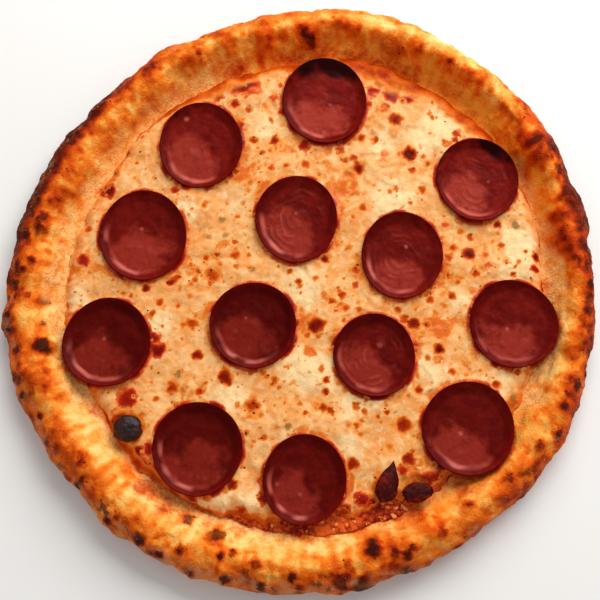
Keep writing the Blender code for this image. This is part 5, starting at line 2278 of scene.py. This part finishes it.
@dataclass
class Scraps:
    """The charred bubble and the two crisp scraps, pressed into the cheese."""

    form: PizzaForm
    sink: float = 1.2 * MM
    unevenness: float = 0.12
    lumpiness: float = 1.7
    crumpling: tuple = ((0.10, 3.9), (0.05, 9.0))  # share of the radius, lumps on it
    columns: int = 56
    rings: int = 36
    rows: tuple = (  # node, x, y, width, length, height, turn in degrees, taper towards its tip
        ("charred_bubble", -83.4, -75.5, 14.0, 13.0, 6.0, 20.0, 0.0),
        ("crisp_leaf_scrap", 42.3, -100.9, 10.0, 20.0, 4.0, -16.0, 0.62),
        ("crisp_round_scrap", 56.0, -105.8, 14.5, 9.5, 4.0, 12.0, 0.0),
    )

    def build(self, row: tuple, material: bpy.types.Material) -> bpy.types.Object:
        """Build one scrap.

        Args:
            row: its name, place, size, turn and taper.
            material: its finish.

        Returns:
            The scrap's object.
        """
        name, x, y, width, length, height, turn, taper = row
        angles = np.linspace(0.0, np.pi, self.rings + 1)
        around, up, azimuth = turned_grid(np.stack([np.sin(angles), np.cos(angles)], axis=1), self.columns)
        across, along = around * np.cos(np.radians(azimuth)), around * np.sin(np.radians(azimuth))
        ball = np.stack([across, along, up], axis=1)
        (coarse, few), (small, many) = self.crumpling
        uneven = 1.0 + self.unevenness * relief(ball, 1.0 / self.lumpiness, np.array([x, y, 0.0]))
        fine = 1.0 + coarse * relief(ball, 1.0 / few, np.array([y, x, 1.0]))
        fine = fine + small * relief(ball, 1.0 / many)
        narrowed = 1.0 - taper * np.maximum(0.0, along + 0.15) ** 1.4
        blunt = 1.0 + 0.35 * taper * smooth(0.0, 0.8, -along)
        half = np.array([width, length, height]) * MM / 2.0
        across = across * narrowed * blunt * uneven * fine * half[0]
        along = along * uneven * half[1]
        ground = self.form.surface_height(x * MM, y * MM) + half[2] - self.sink
        sine, cosine = math.sin(math.radians(turn)), math.cos(math.radians(turn))
        points = np.stack([
            x * MM + self.form.hub[0] + across * cosine - along * sine,
            y * MM + self.form.hub[1] + across * sine + along * cosine,
            ground + up * uneven * fine * half[2],
        ], axis=1)
        return new_piece(f"{name}_look", points, turned_faces(self.rings - 1, self.columns), material)


class ScatterTree(NodeSketch):
    """A geometry tree that strews small uneven grains over a surface, where a mask allows them."""

    inputs = (
        ("Geometry", "Geometry"), ("Density", "Float"), ("Mask", "String"), ("Size", "Float"),
        ("Size Range", "Float"), ("Flatness", "Float"), ("Longness", "Float"), ("Sink", "Float"),
        ("Seed", "Int"), ("Material", "Material"),
    )

    def __init__(self, name: str) -> None:
        """Start the tree with its named inputs.

        Args:
            name: the tree's name.
        """
        self.group = bpy.data.node_groups.new(name, "GeometryNodeTree")
        super().__init__(self.group)
        for socket, kind in self.inputs:
            self.group.interface.new_socket(socket, in_out="INPUT", socket_type=f"NodeSocket{kind}")
        self.group.interface.new_socket("Geometry", in_out="OUTPUT", socket_type="NodeSocketGeometry")
        self.write()

    def random(self, low: Operand, high: Operand, seed: Any, offset: int) -> Value:
        """Return a random number for each grain.

        Args:
            low: the least value.
            high: the greatest value.
            seed: the socket with the tree's seed.
            offset: what sets this number apart from the others.

        Returns:
            The number, as an operand.
        """
        mixed = self.math("ADD", Value(self, seed), float(offset))
        made = self.node("FunctionNodeRandomValue", {"data_type": "FLOAT"})
        for place, given in ((2, low), (3, high), (8, mixed)):
            self.feed(made.inputs[place], given)
        return Value(self, made.outputs[1])

    def write(self) -> None:
        """Write the tree's nodes, from the carrier's faces to the realised grains."""
        given = self.node("NodeGroupInput").outputs
        seed = given["Seed"]
        mask = self.node("GeometryNodeInputNamedAttribute", {"data_type": "FLOAT"}, {"Name": given["Mask"]})
        points = self.node(
            "GeometryNodeDistributePointsOnFaces", {"distribute_method": "RANDOM"},
            {"Mesh": given["Geometry"], "Seed": seed},
        )
        density = Value(self, given["Density"]) * Value(self, mask.outputs["Attribute"])
        self.feed(points.inputs["Density"], density)
        grain = self.node("GeometryNodeMeshIcoSphere", {}, {"Radius": 1.0, "Subdivisions": 2})
        uneven = self.node("ShaderNodeTexNoise", {"noise_dimensions": "3D"}, {"Scale": 1.3, "Detail": 1.0})
        pushed = self.node("ShaderNodeVectorMath", {"operation": "SUBTRACT"}, {0: uneven.outputs["Color"]})
        pushed.inputs[1].default_value = (0.5, 0.5, 0.5)
        lumpy = self.node("GeometryNodeSetPosition", {}, {"Geometry": grain.outputs["Mesh"]})
        self.feed(lumpy.inputs["Offset"], pushed.outputs["Vector"])
        size = Value(self, given["Size"]) * self.random(1.0 - Value(self, given["Size Range"]), 1.0, seed, 1)
        long_way = size * self.random(1.0, Value(self, given["Longness"]), seed, 2)
        low = size * Value(self, given["Flatness"])
        scale = self.node("ShaderNodeCombineXYZ", {}, {0: size, 1: long_way, 2: low})
        strewn = self.node(
            "GeometryNodeInstanceOnPoints", {},
            {"Points": points.outputs["Points"], "Instance": lumpy.outputs["Geometry"],
             "Rotation": points.outputs["Rotation"], "Scale": scale.outputs["Vector"]},
        )
        spin = self.node("ShaderNodeCombineXYZ", {}, {2: self.random(0.0, 2.0 * math.pi, seed, 3)})
        turned = self.node("GeometryNodeRotateInstances", {}, {"Instances": strewn.outputs["Instances"]})
        self.feed(turned.inputs["Rotation"], spin.outputs["Vector"])
        down = self.node("ShaderNodeCombineXYZ", {}, {2: 0.0 - Value(self, given["Sink"])})
        sunk = self.node("GeometryNodeTranslateInstances", {}, {"Instances": turned.outputs["Instances"]})
        self.feed(sunk.inputs["Translation"], down.outputs["Vector"])
        real = self.node("GeometryNodeRealizeInstances", {}, {"Geometry": sunk.outputs["Instances"]})
        soft = self.node("GeometryNodeSetShadeSmooth", {}, {"Geometry": real.outputs["Geometry"]})
        finish = {"Geometry": soft.outputs["Geometry"], "Material": given["Material"]}
        dressed = self.node("GeometryNodeSetMaterial", {}, finish)
        output = self.node("NodeGroupOutput")
        self.tree.links.new(dressed.outputs["Geometry"], output.inputs["Geometry"])

    def identifier(self, name: str) -> str:
        """Return the identifier of an input of the tree.

        Args:
            name: the input's name.

        Returns:
            What a modifier calls it.
        """
        for item in self.group.interface.items_tree:
            if item.item_type == "SOCKET" and item.in_out == "INPUT" and item.name == name:
                return item.identifier
        raise KeyError(name)


@dataclass(frozen=True)
class Scatter:
    """One kind of small thing strewn over a carrier, at true size."""

    name: str
    mask: str
    density: float  # a square metre, where the mask is 1
    size: float
    slot: Slot
    finish: SpeckFinish
    size_range: float = 0.55
    flatness: float = 0.5
    longness: float = 1.5
    sink: float = 0.0
    seed: int = 1

    def build(self, tree: ScatterTree, carrier: bpy.types.Object) -> bpy.types.Object:
        """Strew the grains and turn them into a plain mesh.

        Args:
            tree: the geometry tree that strews them.
            carrier: the piece that they lie on, which carries the mask.

        Returns:
            The grains' object.
        """
        source = put_in_scene(f"{self.name}_source", carrier.data.copy())
        modifier = source.modifiers.new("scatter", "NODES")
        modifier.node_group = tree.group
        settings = {
            "Density": self.density, "Mask": self.mask, "Size": self.size, "Size Range": self.size_range,
            "Flatness": self.flatness, "Longness": self.longness, "Sink": self.sink, "Seed": self.seed,
            "Material": self.finish.build(),
        }
        for name, setting in settings.items():
            modifier[tree.identifier(name)] = setting
        depsgraph = bpy.context.evaluated_depsgraph_get()
        mesh = bpy.data.meshes.new_from_object(source.evaluated_get(depsgraph))
        mesh.name = self.name
        piece = put_in_scene(self.name, mesh)
        bpy.data.objects.remove(source, do_unlink=True)
        return piece


@dataclass
class Studio:
    """A plain pale floor, a big soft light from behind, and an even pale room."""

    floor_size: float = 6.0
    floor_colour: Colour = (0.86, 0.85, 0.84, 1.0)
    floor_drop: float = 0.05 * MM
    room_colour: Colour = (1.0, 0.99, 0.97, 1.0)
    room_strength: float = 0.46
    key_colour: tuple = (1.0, 0.985, 0.96)
    key_power: float = 20.0
    key_size: float = 0.9
    key_stretch: float = 1.3
    key_place: tuple = (0.42, 0.88, 0.80)

    def build_floor(self) -> bpy.types.Object:
        """Add the floor just under the pizza, as stage.

        Returns:
            The floor's object.
        """
        mesh = bpy.data.meshes.new("floor")
        half = self.floor_size / 2.0
        corners = [(-half, -half, 0.0), (half, -half, 0.0), (half, half, 0.0), (-half, half, 0.0)]
        mesh.from_pydata(corners, [], [(0, 1, 2, 3)])
        ink = FinishSketch("pale_floor")
        ink.set(Base_Color=self.floor_colour, Roughness=0.85)
        mesh.materials.append(ink.material)
        floor = put_in_scene("floor", mesh)
        floor.location.z = -self.floor_drop
        return floor

    def build_light(self) -> bpy.types.Object:
        """Add the soft light behind the pizza, aimed at it.

        Returns:
            The light's object.
        """
        data = bpy.data.lights.new("back_window", "AREA")
        data.shape = "RECTANGLE"
        data.size = self.key_stretch * self.key_size
        data.size_y = self.key_size
        data.energy = self.key_power
        data.color = self.key_colour
        light = put_in_scene("back_window", data)
        light.location = self.key_place
        light.rotation_euler = (-Vector(self.key_place)).to_track_quat("-Z", "Y").to_euler()
        return light

    def build_room(self) -> None:
        """Fill the room with an even pale light."""
        world = bpy.data.worlds.new("pale_room")
        world.use_nodes = True
        background = world.node_tree.nodes["Background"]
        background.inputs["Color"].default_value = self.room_colour
        background.inputs["Strength"].default_value = self.room_strength
        bpy.context.scene.world = world
        bpy.context.scene.view_settings.view_transform = "Standard"


TOASTED_CRUMB = SpeckFinish("toasted_crumb", linear(120, 46, 12), linear(64, 18, 6), 0.5)
ORANGE_OIL = SpeckFinish("orange_oil", linear(236, 128, 36), linear(214, 84, 20), 0.08, coat=0.8)
MELTED_SHRED = SpeckFinish(
    "melted_shred", linear(240, 160, 88), linear(220, 96, 26), 0.4, grain=1.2 * MM
)
TOMATO_PULP = SpeckFinish(
    "tomato_pulp", linear(150, 22, 5), linear(206, 70, 16), 0.25, grain=1.5 * MM, coat=0.3
)
CHAR_FLECK = SpeckFinish("char_fleck", linear(50, 14, 6), linear(96, 34, 14), 0.6)
FLOUR_GRAIN = SpeckFinish("flour_grain", linear(226, 196, 158), linear(206, 164, 120), 0.9)

SCATTERS_ON_CHEESE = (
    Scatter("toasted_crumbs", "crumbed", 60000.0, 0.55 * MM, Slot.CHEESE, TOASTED_CRUMB,
            sink=0.1 * MM, seed=4),
    Scatter("oil_beads", "beaded", 2600.0, 0.8 * MM, Slot.CHEESE, ORANGE_OIL,
            flatness=0.28, longness=1.2, seed=8),
)

SCATTERS_ON_SAUCE = (
    Scatter("melted_shreds", "bare", 60000.0, 0.95 * MM, Slot.CHEESE, MELTED_SHRED,
            flatness=0.6, longness=2.4, sink=0.2 * MM, seed=31),
    Scatter("pulp_lumps", "bare", 36000.0, 1.2 * MM, Slot.SAUCE, TOMATO_PULP,
            flatness=0.55, longness=1.8, seed=33),
)

SCATTERS_ON_CRUST = (
    Scatter("char_flecks", "flecked", 70000.0, 0.45 * MM, Slot.CRUST, CHAR_FLECK,
            sink=0.15 * MM, seed=12),
    Scatter("flour_grains", "dusted", 70000.0, 0.2 * MM, Slot.CRUST, FLOUR_GRAIN,
            flatness=0.8, longness=1.3, seed=15),
)


def main() -> None:
    """Build the pizza's pieces in order, then the room around it."""
    logging.basicConfig(level=logging.INFO, format="%(name)s: %(message)s")
    form = PizzaForm()
    camera = PictureCamera()
    layout = SliceLayout(form)
    painter = Painter(form, camera)
    features = Features()
    crust = register(
        Crust(form, layout, painter, features).build(CrustFinish().build()), Slot.CRUST, "crust"
    )
    sauce = register(Sauce(form, layout).build(SauceFinish().build()), Slot.SAUCE, "tomato_sauce")
    cheese = register(
        Cheese(form, layout, painter, features).build(CheeseFinish().build()), Slot.CHEESE, "cheese"
    )
    pepperoni = Pepperoni(form, layout, painter)
    pepperoni_finish = PepperoniFinish().build()
    for item in layout.slices():
        piece = pepperoni.build_slice(item, pepperoni_finish)
        register(piece, Slot.PEPPERONI, f"pepperoni_{item.number:02d}")
    scraps = Scraps(form)
    crisp = CharFinish().build()
    burnt = CharFinish("charred_skin", linear(20, 8, 10), linear(66, 16, 10), 0.3, 0.3).build()
    for row in scraps.rows:
        register(scraps.build(row, burnt if row[0] == "charred_bubble" else crisp), Slot.CHAR, row[0])
    tree = ScatterTree("strewn_grains")
    strewn = ((cheese, SCATTERS_ON_CHEESE), (sauce, SCATTERS_ON_SAUCE), (crust, SCATTERS_ON_CRUST))
    for carrier, scatters in strewn:
        for scatter in scatters:
            register(scatter.build(tree, carrier), scatter.slot)
    studio = Studio()
    studio.build_floor()
    studio.build_light()
    studio.build_room()
    camera.build(form)


if __name__ == "__main__":
    main()
